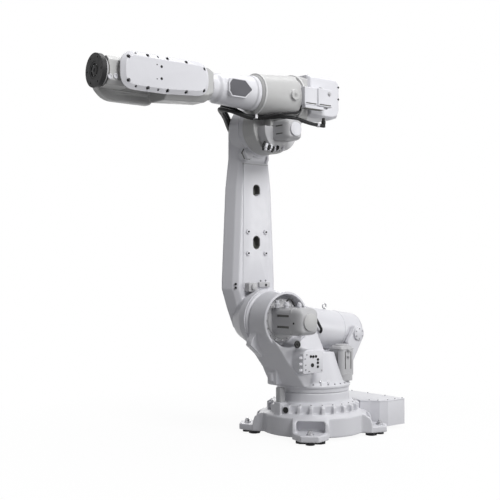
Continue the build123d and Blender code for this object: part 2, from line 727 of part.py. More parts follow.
def square_motor(x, z, y_end, y_root, side, cap_radius):
    """A servo motor along Y: a square body with cut corners and a round end cap."""
    with BuildPart() as motor:
        with BuildSketch(side_plane(y_end - MOTOR_CAP)):
            with Locations((x, z)):
                Rectangle(side, side)
            chamfer(vertices(), side * MOTOR_CORNER_SHARE)
        extrude(amount=y_end - MOTOR_CAP - y_root)
        with BuildSketch(side_plane(y_end)):
            with Locations((x, z)):
                RegularPolygon(cap_radius, 2 * ROUND_SIDES)
        extrude(amount=MOTOR_CAP)
    return motor


axis_2_motor = square_motor(
    SHOULDER_X,
    SHOULDER_Z,
    SHOULDER_MOTOR_END_Y,
    GEAR_UNIT_FACE_Y,
    SHOULDER_MOTOR_SIDE,
    SHOULDER_MOTOR_CAP_RADIUS,
)
save(axis_2_motor, "axis_2_motor")

with BuildPart() as axis_1_motor:
    with BuildSketch(Plane.XY.offset(MOTOR_1_SEAT_Z)):
        with Locations((AXIS_1_MOTOR_X, AXIS_1_MOTOR_Y)):
            RegularPolygon(AXIS_1_MOTOR_RADIUS + MOTOR_FLANGE, 2 * ROUND_SIDES)
    extrude(amount=AXIS_1_FLANGE_HEIGHT)
    with BuildSketch(Plane.XY.offset(MOTOR_1_SEAT_Z + AXIS_1_FLANGE_HEIGHT)):
        with Locations((AXIS_1_MOTOR_X, AXIS_1_MOTOR_Y)):
            Rectangle(AXIS_1_MOTOR_RADIUS * 2, AXIS_1_MOTOR_RADIUS * 2)
        chamfer(vertices(), 2 * AXIS_1_MOTOR_RADIUS * MOTOR_CORNER_SHARE)
    extrude(amount=AXIS_1_MOTOR_TOP_Z - MOTOR_1_SEAT_Z - AXIS_1_FLANGE_HEIGHT)
save(axis_1_motor, "axis_1_motor")

# Balancing cylinder with its cap, lifting eye and trunnion covers
balancer_axis = Plane(
    origin=(BALANCER_FRONT_X, BALANCER_Y, BALANCER_FRONT_Z),
    x_dir=(0, 1, 0),
    z_dir=(-cos(BALANCER_SLOPE), 0, -sin(BALANCER_SLOPE)),
)
with BuildPart() as balancer_cylinder:
    with BuildSketch(balancer_axis):
        Circle(BALANCER_RADIUS)
    extrude(amount=BALANCER_LENGTH - BALANCER_CAP)
    trunnion_reach = EAR_REACH - BEARING_GAP
    with BuildSketch(side_plane(BALANCER_Y + trunnion_reach)):
        with Locations((BALANCER_PIVOT_X, PIVOT_Z)):
            RegularPolygon(TRUNNION_COVER_RADIUS, ROUND_SIDES)
    extrude(amount=2 * trunnion_reach)
save(balancer_cylinder, "balancer_cylinder")

with BuildPart() as balancer_cap:
    with BuildSketch(balancer_axis.offset(BALANCER_LENGTH - BALANCER_CAP)):
        Circle(BALANCER_RADIUS)
    extrude(amount=BALANCER_CAP, taper=BALANCER_CAP_TAPER)
save(balancer_cap, "balancer_cap")

EYE_Z = BALANCER_FRONT_Z - (BALANCER_FRONT_X - EYE_X) * tan(BALANCER_SLOPE) + BALANCER_RADIUS
with BuildPart() as balancer_lifting_eye:
    with BuildSketch(side_plane(BALANCER_Y + EYE_THICKNESS / 2)):
        with Locations((EYE_X, EYE_Z + EYE_RADIUS + EYE_LIFT)):
            RegularPolygon(EYE_RADIUS, ROUND_SIDES)
            RegularPolygon(EYE_RADIUS / 2, ROUND_SIDES, mode=Mode.SUBTRACT)
    extrude(amount=EYE_THICKNESS)
save(balancer_lifting_eye, "balancer_lifting_eye")

with BuildPart() as trunnion_covers:
    for face_y in (
        BALANCER_Y + EAR_REACH + EAR_THICKNESS + TRUNNION_COVER_THICKNESS,
        BALANCER_Y - EAR_REACH - EAR_THICKNESS,
    ):
        with BuildSketch(side_plane(face_y)):
            with Locations((BALANCER_PIVOT_X, PIVOT_Z)):
                RegularPolygon(TRUNNION_COVER_RADIUS, 2 * ROUND_SIDES)
        extrude(amount=TRUNNION_COVER_THICKNESS)
save(trunnion_covers, "trunnion_covers")

# Lower arm: a drafted column with rounded edges and a hub at each end


def arm_outline(y, inset):
    """Outline of the lower arm in the plane at y, drawn inset from the widest one."""
    top = ARM_TOP_HALF + ARM_DRAFT - inset
    middle = ARM_MIDDLE_HALF + ARM_DRAFT - inset
    bottom = ARM_BOTTOM_HALF + ARM_DRAFT - inset
    low = ARM_LOW_HALF + ARM_DRAFT - inset
    foot = ARM_FOOT_HALF + ARM_DRAFT - inset
    right_side = [
        (foot, ARM_FOOT_Z),
        (low, ARM_LOW_Z),
        (bottom, ARM_WIDEST_Z),
        (bottom, ARM_BOTTOM_Z),
        (middle, ARM_MIDDLE_Z),
        (top, ELBOW_Z - ARM_NECK_DROP),
        (top, ELBOW_Z),
        (top * ARM_CROWN_SHARE, ELBOW_Z + ARM_CROWN_RISE - inset),
    ]
    points = [(SHOULDER_X + half, z) for half, z in right_side]
    points += [(SHOULDER_X - half, z) for half, z in reversed(right_side)]
    return outline(side_plane(y), points)


def hub(centre_z, profile):
    """Half section of a round hub about the Y axis through a joint, to be revolved."""
    points = [(SHOULDER_X + radius, y) for radius, y in profile]
    return outline(Plane.XY.offset(centre_z), points)


with BuildPart() as lower_arm_casting:
    near_face = arm_outline(ARM_NEAR_Y, ARM_DRAFT + ARM_EDGE)
    shoulder_line = arm_outline(ARM_SHOULDER_Y, ARM_DRAFT)
    far_line = arm_outline(ARM_FAR_Y + ARM_FAR_EDGE, 0)
    far_face = arm_outline(ARM_FAR_Y, ARM_FAR_EDGE)
    loft([near_face, shoulder_line], ruled=True)
    loft([shoulder_line, far_line], ruled=True)
    loft([far_line, far_face], ruled=True)
    shoulder_profile = [
        (0, SHOULDER_SEAM_Y),
        (SHOULDER_SEAM_RADIUS, SHOULDER_SEAM_Y),
        (SHOULDER_SEAM_RADIUS, SHOULDER_SEAM_Y - HUB_STEP),
        (SHOULDER_HUB_RADIUS, SHOULDER_SEAM_Y - 2 * HUB_STEP),
        (SHOULDER_HUB_RADIUS, ELBOW_SEAM_Y),
        (SHOULDER_HUB_RADIUS - HUB_ROUNDING, ARM_FAR_Y + HUB_ROUNDING),
        (0, ARM_FAR_Y + HUB_ROUNDING),
    ]
    revolve(hub(SHOULDER_Z, shoulder_profile), axis=Axis((SHOULDER_X, 0, SHOULDER_Z), (0, 1, 0)))
    elbow_profile = [
        (0, ELBOW_SEAM_Y),
        (ELBOW_SEAM_RADIUS, ELBOW_SEAM_Y),
        (ELBOW_SEAM_RADIUS, ELBOW_SEAM_Y - HUB_STEP),
        (ELBOW_HUB_RADIUS, ELBOW_SEAM_Y - 2 * HUB_STEP),
        (ELBOW_HUB_RADIUS, ARM_FAR_Y + HUB_ROUNDING),
        (ELBOW_HUB_RADIUS - HUB_ROUNDING, ARM_FAR_Y),
        (0, ARM_FAR_Y),
    ]
    revolve(hub(ELBOW_Z, elbow_profile), axis=Axis((SHOULDER_X, 0, ELBOW_Z), (0, 1, 0)))
    # Six-sided buffer of axis 3 and the raised plate under the elbow
    with BuildSketch(side_plane(ARM_NEAR_Y + BUFFER_HEIGHT)):
        with Locations((SHOULDER_X + BUFFER_X, BUFFER_Z)):
            RegularPolygon(BUFFER_RADIUS, 6)
    extrude(amount=2 * BUFFER_HEIGHT)
    with BuildSketch(side_plane(ARM_NEAR_Y + PLATE_STEP)):
        with Locations((SHOULDER_X, RAISED_PLATE_Z)):
            Rectangle(RAISED_PLATE_WIDTH, RAISED_PLATE_HEIGHT)
    extrude(amount=2 * PLATE_STEP)
    with BuildSketch(side_plane(ARM_NEAR_Y)):
        with Locations((SHOULDER_X, WINDOW_TOP_Z), (SHOULDER_X, WINDOW_LOW_Z)):
            SlotCenterToCenter(WINDOW_HEIGHT - WINDOW_WIDTH, WINDOW_WIDTH, rotation=90)
    extrude(amount=WINDOW_DEPTH, mode=Mode.SUBTRACT)
save(lower_arm_casting, "lower_arm_casting")

with BuildPart() as clamp_bosses:
    with BuildSketch(side_plane(ARM_NEAR_Y + CLAMP_BOSS_HEIGHT)):
        with Locations((SHOULDER_X, WINDOW_LOW_Z)):
            with GridLocations(2 * CLAMP_BOSS_X, 2 * CLAMP_BOSS_Z, 2, 2):
                RegularPolygon(CLAMP_BOSS_RADIUS, ROUND_SIDES)
    extrude(amount=CLAMP_BOSS_HEIGHT)
save(clamp_bosses, "clamp_bosses")

# Upper arm: the elbow hub, the tapered housing and what is bolted to it
with BuildPart() as upper_arm_housing:
    with BuildSketch(Plane.XZ):
        with BuildLine():
            Polyline(
                (COVER_FRONT_X, FOREARM_Z),
                (COVER_FRONT_X, FOREARM_Z + HOUSING_REAR_RADIUS),
                (HOUSING_REAR_X, FOREARM_Z + HOUSING_REAR_RADIUS),
                (ROLL_SEAM_X - ROLL_FLANGE, FOREARM_Z + HOUSING_FRONT_RADIUS),
                (ROLL_SEAM_X - BEARING_GAP, FOREARM_Z + ROLL_SEAM_RADIUS),
                (ROLL_SEAM_X - BEARING_GAP, FOREARM_Z),
                close=True,
            )
        make_face()
    revolve(axis=Axis((0, 0, FOREARM_Z), (1, 0, 0)))
    # Step in which the axis 4 motor sits
    with BuildSketch(front_plane(AXIS_4_MOTOR_FRONT_X)):
        with Locations((MOTOR_4_INNER_Y + HOUSING_REAR_RADIUS / 2, FOREARM_Z)):
            Rectangle(HOUSING_REAR_RADIUS, 2 * HOUSING_REAR_RADIUS)
    extrude(amount=COVER_FRONT_X - AXIS_4_MOTOR_FRONT_X, mode=Mode.SUBTRACT)
    with BuildSketch(side_plane(ELBOW_HUB_FACE_Y)):
        with Locations((SHOULDER_X, ELBOW_Z)):
            Circle(ELBOW_SEAM_RADIUS)
    extrude(amount=ELBOW_HUB_FACE_Y - ELBOW_SEAM_Y - BEARING_GAP)
    # Neck between the hub and the housing
    neck = [
        (SHOULDER_X + NECK_FRONT, FOREARM_Z),
        (SHOULDER_X - NECK_REAR, FOREARM_Z),
        (SHOULDER_X - NECK_REAR, ELBOW_Z),
        (SHOULDER_X + NECK_FRONT, ELBOW_Z),
    ]
    extrude(outline(side_plane(NECK_FACE_Y), neck), amount=NECK_FACE_Y - ELBOW_HUB_FACE_Y)
    with BuildSketch(side_plane(HOUSING_REAR_RADIUS + HOUSING_PAD_HEIGHT)):
        with Locations((HOUSING_PAD_X, FOREARM_Z)):
            RegularPolygon(HOUSING_PAD_RADIUS, ROUND_SIDES)
    extrude(amount=HOUSING_PAD_RADIUS)
save(upper_arm_housing, "upper_arm_housing")

# Gear unit and motor of axis 3 on the hub's left face
GEAR_3_FACE_Y = NECK_FACE_Y - BEARING_GAP
with BuildPart() as axis_3_gear_unit:
    with BuildSketch(side_plane(GEAR_3_FACE_Y)):
        with Locations((SHOULDER_X, ELBOW_Z - GEAR_3_DROP)):
            RegularPolygon(GEAR_3_RADIUS, 2 * ROUND_SIDES)
        with Locations((SHOULDER_X, ELBOW_Z + GEAR_3_RADIUS)):
            Rectangle(4 * GEAR_3_RADIUS, 2 * GEAR_3_RADIUS, mode=Mode.SUBTRACT)
    extrude(amount=GEAR_3_FACE_Y - ELBOW_HUB_FACE_Y)
save(axis_3_gear_unit, "axis_3_gear_unit")

axis_3_motor = square_motor(
    SHOULDER_X,
    ELBOW_Z - ELBOW_MOTOR_DROP,
    ELBOW_MOTOR_END_Y,
    NECK_FACE_Y,
    ELBOW_MOTOR_SIDE,
    ELBOW_MOTOR_CAP_RADIUS,
)
save(axis_3_motor, "axis_3_motor")

# Rear cover: a rounded box behind the housing, with bevelled sides
cover = [
    (COVER_FRONT_X, COVER_BOTTOM_Z),
    (COVER_FRONT_X, COVER_TOP_Z),
    (COVER_REAR_X + COVER_CORNER / 2, COVER_TOP_Z),
    (COVER_REAR_X, COVER_TOP_Z - COVER_CORNER / 2),
    (COVER_REAR_X, COVER_BOTTOM_Z + COVER_CORNER),
    (COVER_REAR_X + COVER_CORNER / 4, COVER_BOTTOM_Z + COVER_CORNER / 4),
    (COVER_REAR_X + COVER_CORNER, COVER_BOTTOM_Z),
]
with BuildPart() as rear_cover:
    cover_side = outline(side_plane(COVER_HALF_WIDTH - COVER_BEVEL), cover)
    extrude(cover_side, amount=2 * (COVER_HALF_WIDTH - COVER_BEVEL))
    cover_ends = rear_cover.faces().filter_by(Axis.Y)
    extrude(cover_ends, amount=COVER_BEVEL, taper=COVER_BEVEL_TAPER)
save(rear_cover, "rear_cover")

with BuildPart() as axis_4_motor:
    with BuildSketch(front_plane(AXIS_4_MOTOR_FRONT_X)):
        with Locations((MOTOR_4_INNER_Y + AXIS_4_MOTOR_WIDTH / 2, FOREARM_Z + MOTOR_4_RAISE)):
            Rectangle(AXIS_4_MOTOR_WIDTH, AXIS_4_MOTOR_HEIGHT)
        chamfer(vertices(), AXIS_4_MOTOR_WIDTH * MOTOR_CORNER_SHARE)
    extrude(amount=COVER_FRONT_X - AXIS_4_MOTOR_FRONT_X)
    with BuildSketch(front_plane(COVER_FRONT_X)):
        with Locations((MOTOR_4_REAR_Y + AXIS_4_MOTOR_WIDTH / 2, FOREARM_Z + MOTOR_4_RAISE)):
            Rectangle(AXIS_4_MOTOR_WIDTH, AXIS_4_MOTOR_HEIGHT)
        chamfer(vertices(), AXIS_4_MOTOR_WIDTH * MOTOR_CORNER_SHARE)
    extrude(amount=AXIS_4_MOTOR_REAR_X - COVER_FRONT_X)
save(axis_4_motor, "axis_4_motor")

# Forearm tube with the pod of the side panel, and the wrist on its end
TUBE_STEP_X = WRIST_REAR_X - TUBE_NECK_LENGTH
PANEL_REAR_X = ROLL_SEAM_X + PANEL_SETBACK


def panel_outline(y, margin):
    """Outline of the side panel in the plane at y: pointed to the rear, blunt to the front."""
    rear = PANEL_REAR_X - margin
    front = PANEL_REAR_X + PANEL_LENGTH + margin
    half = PANEL_HALF + margin
    points = [
        (rear, FOREARM_Z),
        (rear + PANEL_POINT, FOREARM_Z + half),
        (front - PANEL_NOSE, FOREARM_Z + half),
        (front, FOREARM_Z + half / 2),
        (front, FOREARM_Z - half / 2),
        (front - PANEL_NOSE, FOREARM_Z - half),
        (rear + PANEL_POINT, FOREARM_Z - half),
    ]
    return outline(side_plane(y), points)


with BuildPart() as forearm_tube:
    with BuildSketch(Plane.XZ):
        with BuildLine():
            Polyline(
                (ROLL_SEAM_X, FOREARM_Z),
                (ROLL_SEAM_X, FOREARM_Z + ROLL_SEAM_RADIUS),
                (ROLL_SEAM_X + TUBE_COLLAR, FOREARM_Z + ROLL_SEAM_RADIUS),
                (ROLL_SEAM_X + TUBE_COLLAR, FOREARM_Z + TUBE_RADIUS),
                (TUBE_STEP_X - TUBE_STEP_LENGTH, FOREARM_Z + TUBE_FRONT_RADIUS),
                (TUBE_STEP_X, FOREARM_Z + TUBE_NECK_RADIUS),
                (WRIST_REAR_X, FOREARM_Z + TUBE_NECK_RADIUS),
                (WRIST_REAR_X, FOREARM_Z),
                close=True,
            )
        make_face()
    revolve(axis=Axis((0, 0, FOREARM_Z), (1, 0, 0)))
    extrude(panel_outline(POD_FACE_Y, POD_MARGIN), amount=TUBE_RADIUS / 2)
save(forearm_tube, "forearm_tube")

with BuildPart() as side_panel:
    extrude(panel_outline(POD_FACE_Y + PANEL_THICKNESS, 0), amount=PANEL_THICKNESS)
save(side_panel, "side_panel")


def wrist_section(x, near, far, top, drop, bevel):
    """Cross-section of the wrist at x: flat sides and top, bevelled below."""
    points = [
        (near, FOREARM_Z + top),
        (near, FOREARM_Z - drop + bevel),
        (near - bevel, FOREARM_Z - drop),
        (bevel - far, FOREARM_Z - drop),
        (-far, FOREARM_Z - drop + bevel),
        (-far, FOREARM_Z + top),
    ]
    return outline(front_plane(x), points)


with BuildPart() as wrist_housing:
    # Rear body, behind the slot in which the tilt housing swings
    root = WRIST_ROOT_HALF
    far = -LOBE_INNER_Y
    sections = [
        wrist_section(WRIST_REAR_X, root, root, root, root, WRIST_ROOT_BEVEL),
        wrist_section(WRIST_BELLY_X, COVER_INNER_Y, far, WRIST_TOP, BELLY_DROP, BELLY_BEVEL),
        wrist_section(WRIST_SLOT_X, COVER_INNER_Y, far, WRIST_TOP, SLOT_DROP, SLOT_BEVEL),
    ]
    loft(sections, ruled=True)
    # Fork arms on both sides of the slot
    for arm_y, thickness in (
        (COVER_INNER_Y, COVER_INNER_Y - FORK_GAP),
        (-FORK_GAP, -FORK_GAP - LOBE_INNER_Y),
    ):
        with BuildSketch(side_plane(arm_y)):
            with Locations((WRIST_X, FOREARM_Z)):
                Circle(FORK_ARM_HALF)
            with Locations(((WRIST_X + WRIST_SLOT_X) / 2, FOREARM_Z)):
                Rectangle(WRIST_X - WRIST_SLOT_X, 2 * FORK_ARM_HALF)
        extrude(amount=thickness)
    # Round lobe on the far side, over the tilt gear
    with BuildSketch(side_plane(LOBE_INNER_Y)):
        with Locations((WRIST_X, FOREARM_Z)):
            Circle(LOBE_RADIUS)
        with BuildLine():
            Polyline(
                (WRIST_X, FOREARM_Z - LOBE_RADIUS),
                (WRIST_X, FOREARM_Z + WRIST_COVER_HALF),
                (LOBE_REAR_X + LOBE_SLOPE, FOREARM_Z + WRIST_COVER_HALF),
                (LOBE_REAR_X, FOREARM_Z + WRIST_COVER_HALF - LOBE_SLOPE),
                (LOBE_REAR_X, FOREARM_Z - LOBE_RADIUS + LOBE_SLOPE),
                (LOBE_REAR_X + LOBE_SLOPE, FOREARM_Z - LOBE_RADIUS),
                close=True,
            )
        make_face()
        with Locations((WRIST_X, FOREARM_Z + WRIST_COVER_HALF + LOBE_RADIUS)):
            Rectangle(4 * LOBE_RADIUS, 2 * LOBE_RADIUS, mode=Mode.SUBTRACT)
    extrude(amount=LOBE_INNER_Y - LOBE_OUTER_Y)
save(wrist_housing, "wrist_housing")

# Wrist covers: an upright rim and a wide bevel up to the flat face
cover_rim = [
    (WRIST_COVER_REAR_X, FOREARM_Z - WRIST_COVER_HALF + WRIST_COVER_RISE),
    (WRIST_COVER_BEND_X, FOREARM_Z - WRIST_COVER_HALF),
    (WRIST_COVER_NOSE_X, FOREARM_Z - WRIST_COVER_HALF),
    (WRIST_COVER_NOSE_X, FOREARM_Z + WRIST_COVER_HALF),
    (WRIST_COVER_REAR_X, FOREARM_Z + WRIST_COVER_HALF),
]
with BuildPart() as wrist_cover:
    with BuildSketch(side_plane(WRIST_RIM_Y)):
        with BuildLine():
            Polyline(*cover_rim, close=True)
        make_face()
        fillet(vertices(), WRIST_COVER_CORNER)
    extrude(amount=WRIST_RIM_Y - COVER_INNER_Y)
    cover_face = wrist_cover.faces().sort_by(Axis.Y)[-1]
    extrude(cover_face, amount=WRIST_COVER_Y - WRIST_RIM_Y, taper=WRIST_COVER_TAPER)
save(wrist_cover, "wrist_cover")

with BuildPart() as wrist_far_cover:
    with BuildSketch(side_plane(LOBE_OUTER_Y)):
        with Locations((WRIST_X, FOREARM_Z)):
            RegularPolygon(FAR_COVER_RADIUS, 2 * ROUND_SIDES)
    extrude(amount=FAR_COVER_THICKNESS)
save(wrist_far_cover, "wrist_far_cover")

# Tilt housing: a barrel between the fork arms, a block and a round seat for the flange
BLOCK_SIDE_Y = FORK_GAP - MOVING_GAP
with BuildPart() as tilt_housing:
    with BuildSketch(side_plane(FORK_GAP - BEARING_GAP)):
        with Locations((WRIST_X, FOREARM_Z)):
            Circle(TILT_BARREL_RADIUS)
    extrude(amount=2 * (FORK_GAP - BEARING_GAP))
    block = [
        (BLOCK_SIDE_Y - PLUG_THICKNESS, FOREARM_Z + TILT_BLOCK_TOP - TILT_CORNER),
        (BLOCK_SIDE_Y - PLUG_THICKNESS - TILT_CORNER, FOREARM_Z + TILT_BLOCK_TOP),
        (-BLOCK_SIDE_Y + TILT_CORNER, FOREARM_Z + TILT_BLOCK_TOP),
        (-BLOCK_SIDE_Y, FOREARM_Z + TILT_BLOCK_TOP - TILT_CORNER),
        (-BLOCK_SIDE_Y, FOREARM_Z - TILT_BLOCK_DROP + TILT_CORNER),
        (-BLOCK_SIDE_Y + TILT_CORNER, FOREARM_Z - TILT_BLOCK_DROP),
        (BLOCK_SIDE_Y - PLUG_THICKNESS - TILT_CORNER, FOREARM_Z - TILT_BLOCK_DROP),
        (BLOCK_SIDE_Y - PLUG_THICKNESS, FOREARM_Z - TILT_BLOCK_DROP + TILT_CORNER),
    ]
    extrude(outline(front_plane(WRIST_X), block), amount=TILT_BLOCK_LENGTH)
    with BuildSketch(front_plane(WRIST_X)):
        with Locations((0, FOREARM_Z)):
            Circle(TILT_RADIUS)
    extrude(amount=WRIST_TO_FLANGE - FLANGE_THICKNESS - BEARING_GAP)
save(tilt_housing, "tilt_housing")

with BuildPart() as tilt_plugs:
    with BuildSketch(side_plane(BLOCK_SIDE_Y)):
        for plug_x, plug_z in TILT_PLUGS:
            with Locations((WRIST_X + plug_x, FOREARM_Z + plug_z)):
                RegularPolygon(TILT_PLUG_RADIUS, ROUND_SIDES)
    extrude(amount=PLUG_THICKNESS)
save(tilt_plugs, "tilt_plugs")

with BuildPart() as tool_flange:
    with BuildSketch(front_plane(FLANGE_X - FLANGE_THICKNESS)):
        with Locations((0, FOREARM_Z)):
            Circle(FLANGE_RADIUS)
    extrude(amount=FLANGE_THICKNESS)
    with BuildSketch(front_plane(FLANGE_X)):
        with Locations((0, FOREARM_Z)):
            Circle(FLANGE_BORE_RADIUS)
    extrude(amount=-FLANGE_BORE_DEPTH, mode=Mode.SUBTRACT)
    with BuildSketch(front_plane(FLANGE_X)):
        with Locations((0, FOREARM_Z)):
            with PolarLocations(FLANGE_PCD / 2, FLANGE_BOLTS):
                Circle(FLANGE_BOLT_RADIUS)
    extrude(amount=-FLANGE_BOLT_DEPTH, mode=Mode.SUBTRACT)
save(tool_flange, "tool_flange")

# Cables, held by a clamp under the housing and one on the lower arm's far side


def cable(route, radius):
    """A six-sided cable: straight at both ends and in short pieces along a smooth route."""
    with BuildLine() as smooth:
        Spline(*route[1:-1])
    bends = [smooth.line @ (i / CABLE_PIECES) for i in range(CABLE_PIECES + 1)]
    with BuildPart() as tube:
        with BuildLine() as path:
            Polyline(route[0], *bends, route[-1])
        with BuildSketch(Plane(origin=path.line @ 0, z_dir=path.line % 0)):
            RegularPolygon(radius, 6)
        sweep(path=path.line, transition=Transition.RIGHT)
    return tube.part


# The housing tapers, so the clamp hangs just under its radius at the clamp's rear face
TAPER_FRONT_X = ROLL_SEAM_X - ROLL_FLANGE
TAPER = (HOUSING_REAR_RADIUS - HOUSING_FRONT_RADIUS) / (TAPER_FRONT_X - HOUSING_REAR_X)
RADIUS_AT_CLAMP = HOUSING_FRONT_RADIUS + TAPER * (TAPER_FRONT_X - CLAMP_X + CLAMP_THICKNESS / 2)
HOUSING_CLAMP_TOP = FOREARM_Z - RADIUS_AT_CLAMP - BEARING_GAP

with BuildPart() as housing_clamp:
    with Locations((CLAMP_X, CLAMP_Y, HOUSING_CLAMP_TOP - HOUSING_CLAMP_HEIGHT / 2)):
        Box(CLAMP_THICKNESS, HOUSING_CLAMP_WIDTH, HOUSING_CLAMP_HEIGHT)
save(housing_clamp, "housing_clamp")

with BuildPart() as far_clamp:
    with Locations((FAR_CLAMP_X, ARM_FAR_Y - FAR_CLAMP_DEPTH / 2, FAR_CLAMP_Z)):
        Box(FAR_CLAMP_WIDTH, FAR_CLAMP_DEPTH, FAR_CLAMP_HEIGHT)
save(far_clamp, "far_clamp")

FRONT_OF_CLAMP = CLAMP_X + CLAMP_THICKNESS / 2 + BEARING_GAP
BEHIND_CLAMP = CLAMP_X - CLAMP_THICKNESS / 2 - BEARING_GAP
FAR_CLAMP_TOP = FAR_CLAMP_Z + FAR_CLAMP_HEIGHT / 2 + BEARING_GAP

CABLE_Z = FOREARM_Z - CABLE_DROP
CABLE_Y = CLAMP_Y - CABLE_SPACING / 2
OTHER_CABLE_Y = CLAMP_Y + CABLE_SPACING / 2


def near_elbow(points):
    """Route points that are written from the axis of the elbow."""
    return [(SHOULDER_X + x, y, ELBOW_Z + z) for x, y, z in points]


ELBOW_ROUTES = [
    [
        (FRONT_OF_CLAMP, CABLE_Y, CABLE_Z),
        (FRONT_OF_CLAMP + CABLE_END, CABLE_Y, CABLE_Z),
        *near_elbow(ELBOW_CABLE),
        (FAR_CLAMP_X - CABLE_SPACING / 2, FAR_CABLE_Y, FAR_CLAMP_TOP + CABLE_END),
        (FAR_CLAMP_X - CABLE_SPACING / 2, FAR_CABLE_Y, FAR_CLAMP_TOP),
    ],
    [
        (FRONT_OF_CLAMP, OTHER_CABLE_Y, CABLE_Z),
        (FRONT_OF_CLAMP + CABLE_END, OTHER_CABLE_Y, CABLE_Z),
        *near_elbow(OTHER_ELBOW_CABLE),
        (FAR_CLAMP_X + CABLE_SPACING / 2, FAR_CABLE_Y, FAR_CLAMP_TOP + CABLE_END),
        (FAR_CLAMP_X + CABLE_SPACING / 2, FAR_CABLE_Y, FAR_CLAMP_TOP),
    ],
]
with BuildPart() as elbow_cables:
    for route in ELBOW_ROUTES:
        add(cable(route, CABLE_RADIUS))
save(elbow_cables, "elbow_cables")

HOUSING_ROUTE = [
    (BEHIND_CLAMP, CABLE_Y, CABLE_Z),
    (BEHIND_CLAMP - CABLE_END / 2, CABLE_Y, CABLE_Z),
    *near_elbow(HOUSING_CABLE),
]
MOTOR_4_BOTTOM = FOREARM_Z + MOTOR_4_RAISE - AXIS_4_MOTOR_HEIGHT / 2 - BEARING_GAP
MOTOR_4_ROUTE = [
    (BEHIND_CLAMP, OTHER_CABLE_Y, CABLE_Z),
    (BEHIND_CLAMP - CABLE_END / 2, OTHER_CABLE_Y, CABLE_Z),
    *near_elbow(MOTOR_4_CABLE),
    (MOTOR_4_CABLE_X, MOTOR_4_CABLE_Y, MOTOR_4_BOTTOM - CABLE_END),
    (MOTOR_4_CABLE_X, MOTOR_4_CABLE_Y, MOTOR_4_BOTTOM),
]
with BuildPart() as upper_arm_cables:
    add(cable(HOUSING_ROUTE, CABLE_RADIUS))
    add(cable(MOTOR_4_ROUTE, THIN_CABLE_RADIUS))
save(upper_arm_cables, "upper_arm_cables")
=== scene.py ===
"""Looks of a white six-axis industrial robot arm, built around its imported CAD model.

The frame is that of the model: the origin is on the floor on axis 1, +X is the way the arm
reaches, +Y is the robot's left and +Z is up. Places and sizes are written in millimetres, and
the helpers turn them into metres.
"""

import json
import math

import bmesh
import bpy
from mathutils import Matrix, Vector


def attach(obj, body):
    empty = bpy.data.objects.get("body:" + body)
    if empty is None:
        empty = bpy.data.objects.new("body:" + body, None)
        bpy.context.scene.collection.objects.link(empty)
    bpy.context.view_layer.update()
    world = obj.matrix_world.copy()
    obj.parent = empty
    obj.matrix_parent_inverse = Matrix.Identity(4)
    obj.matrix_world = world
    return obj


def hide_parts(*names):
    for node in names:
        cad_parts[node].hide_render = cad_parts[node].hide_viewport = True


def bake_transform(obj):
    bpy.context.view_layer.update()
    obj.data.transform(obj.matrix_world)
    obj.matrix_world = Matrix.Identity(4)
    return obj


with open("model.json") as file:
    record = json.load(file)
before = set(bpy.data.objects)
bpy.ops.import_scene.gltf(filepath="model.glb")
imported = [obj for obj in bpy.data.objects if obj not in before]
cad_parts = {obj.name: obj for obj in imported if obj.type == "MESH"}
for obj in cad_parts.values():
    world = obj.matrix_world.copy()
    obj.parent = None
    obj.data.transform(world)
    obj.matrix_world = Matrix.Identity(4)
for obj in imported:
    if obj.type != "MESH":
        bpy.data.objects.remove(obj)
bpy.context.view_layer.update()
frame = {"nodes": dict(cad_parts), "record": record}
nodes = frame["nodes"]

MM = 0.001
BODY_OF = {}
for body, names in frame["record"]["behaviour"]["bodies"].items():
    for name in names:
        BODY_OF[name] = body
SLOT_OF = {part["node"]: part["material_slot"] for part in frame["record"]["subparts"]}

# Places of the robot's axes

SHOULDER_X = 320
SHOULDER_Z = 780
ELBOW_Z = 2060
FOREARM_Z = 2260
WRIST_X = 1502.5

# Camera, fitted to the photograph's seams, rings and feet

CAMERA_PLACE = (4.3210, 4.6536, 1.1425)
CAMERA_YAW = -2.2514
CAMERA_PITCH = 0.0166
CAMERA_LENS = 66.43
FILM_WIDTH = 36.0
FAR_VIEW = 60.0


def add_camera():
    """The camera stands front left of the robot and looks almost level."""
    data = bpy.data.cameras.new("camera")
    data.lens = CAMERA_LENS
    data.sensor_width = FILM_WIDTH
    data.clip_end = FAR_VIEW
    camera = bpy.data.objects.new("camera", data)
    bpy.context.collection.objects.link(camera)
    camera.location = CAMERA_PLACE
    forward = Vector(
        (
            math.cos(CAMERA_PITCH) * math.cos(CAMERA_YAW),
            math.cos(CAMERA_PITCH) * math.sin(CAMERA_YAW),
            math.sin(CAMERA_PITCH),
        )
    )
    camera.rotation_euler = forward.to_track_quat("-Z", "Y").to_euler()
    bpy.context.scene.camera = camera


# Studio: white floor, white surroundings and soft lamps

LAMPS = {
    "key_lamp": {"place": (0.2, 5.4, 5.8), "aim": (0.4, 0.0, 1.1), "size": 3.0, "watts": 370.0},
    "fill_lamp": {"place": (6.5, 0.5, 2.6), "aim": (0.6, 0.0, 1.2), "size": 3.0, "watts": 20.0},
    "top_lamp": {"place": (-0.5, -0.6, 6.2), "aim": (0.3, 0.0, 1.0), "size": 3.0, "watts": 110.0},
    "rear_lamp": {"place": (-3.0, -6.0, 3.2), "aim": (0.3, 0.0, 1.2), "size": 3.0, "watts": 110.0},
    "side_lamp": {"place": (-4.6, 5.4, 1.9), "aim": (0.3, -0.2, 1.4), "size": 2.5, "watts": 115.0},
}
AMBIENT = 0.12
AMBIENT_TINT = (0.92, 0.93, 1.0, 1.0)
WHITE = (1.0, 1.0, 1.0, 1.0)
FLOOR_REACH = 14.0
FLOOR_BOUNCE = (0.34, 0.34, 0.34, 1.0)
FLOOR_PAINT = (0.95, 0.95, 0.95, 1.0)
FLOOR_WHITE = 0.94
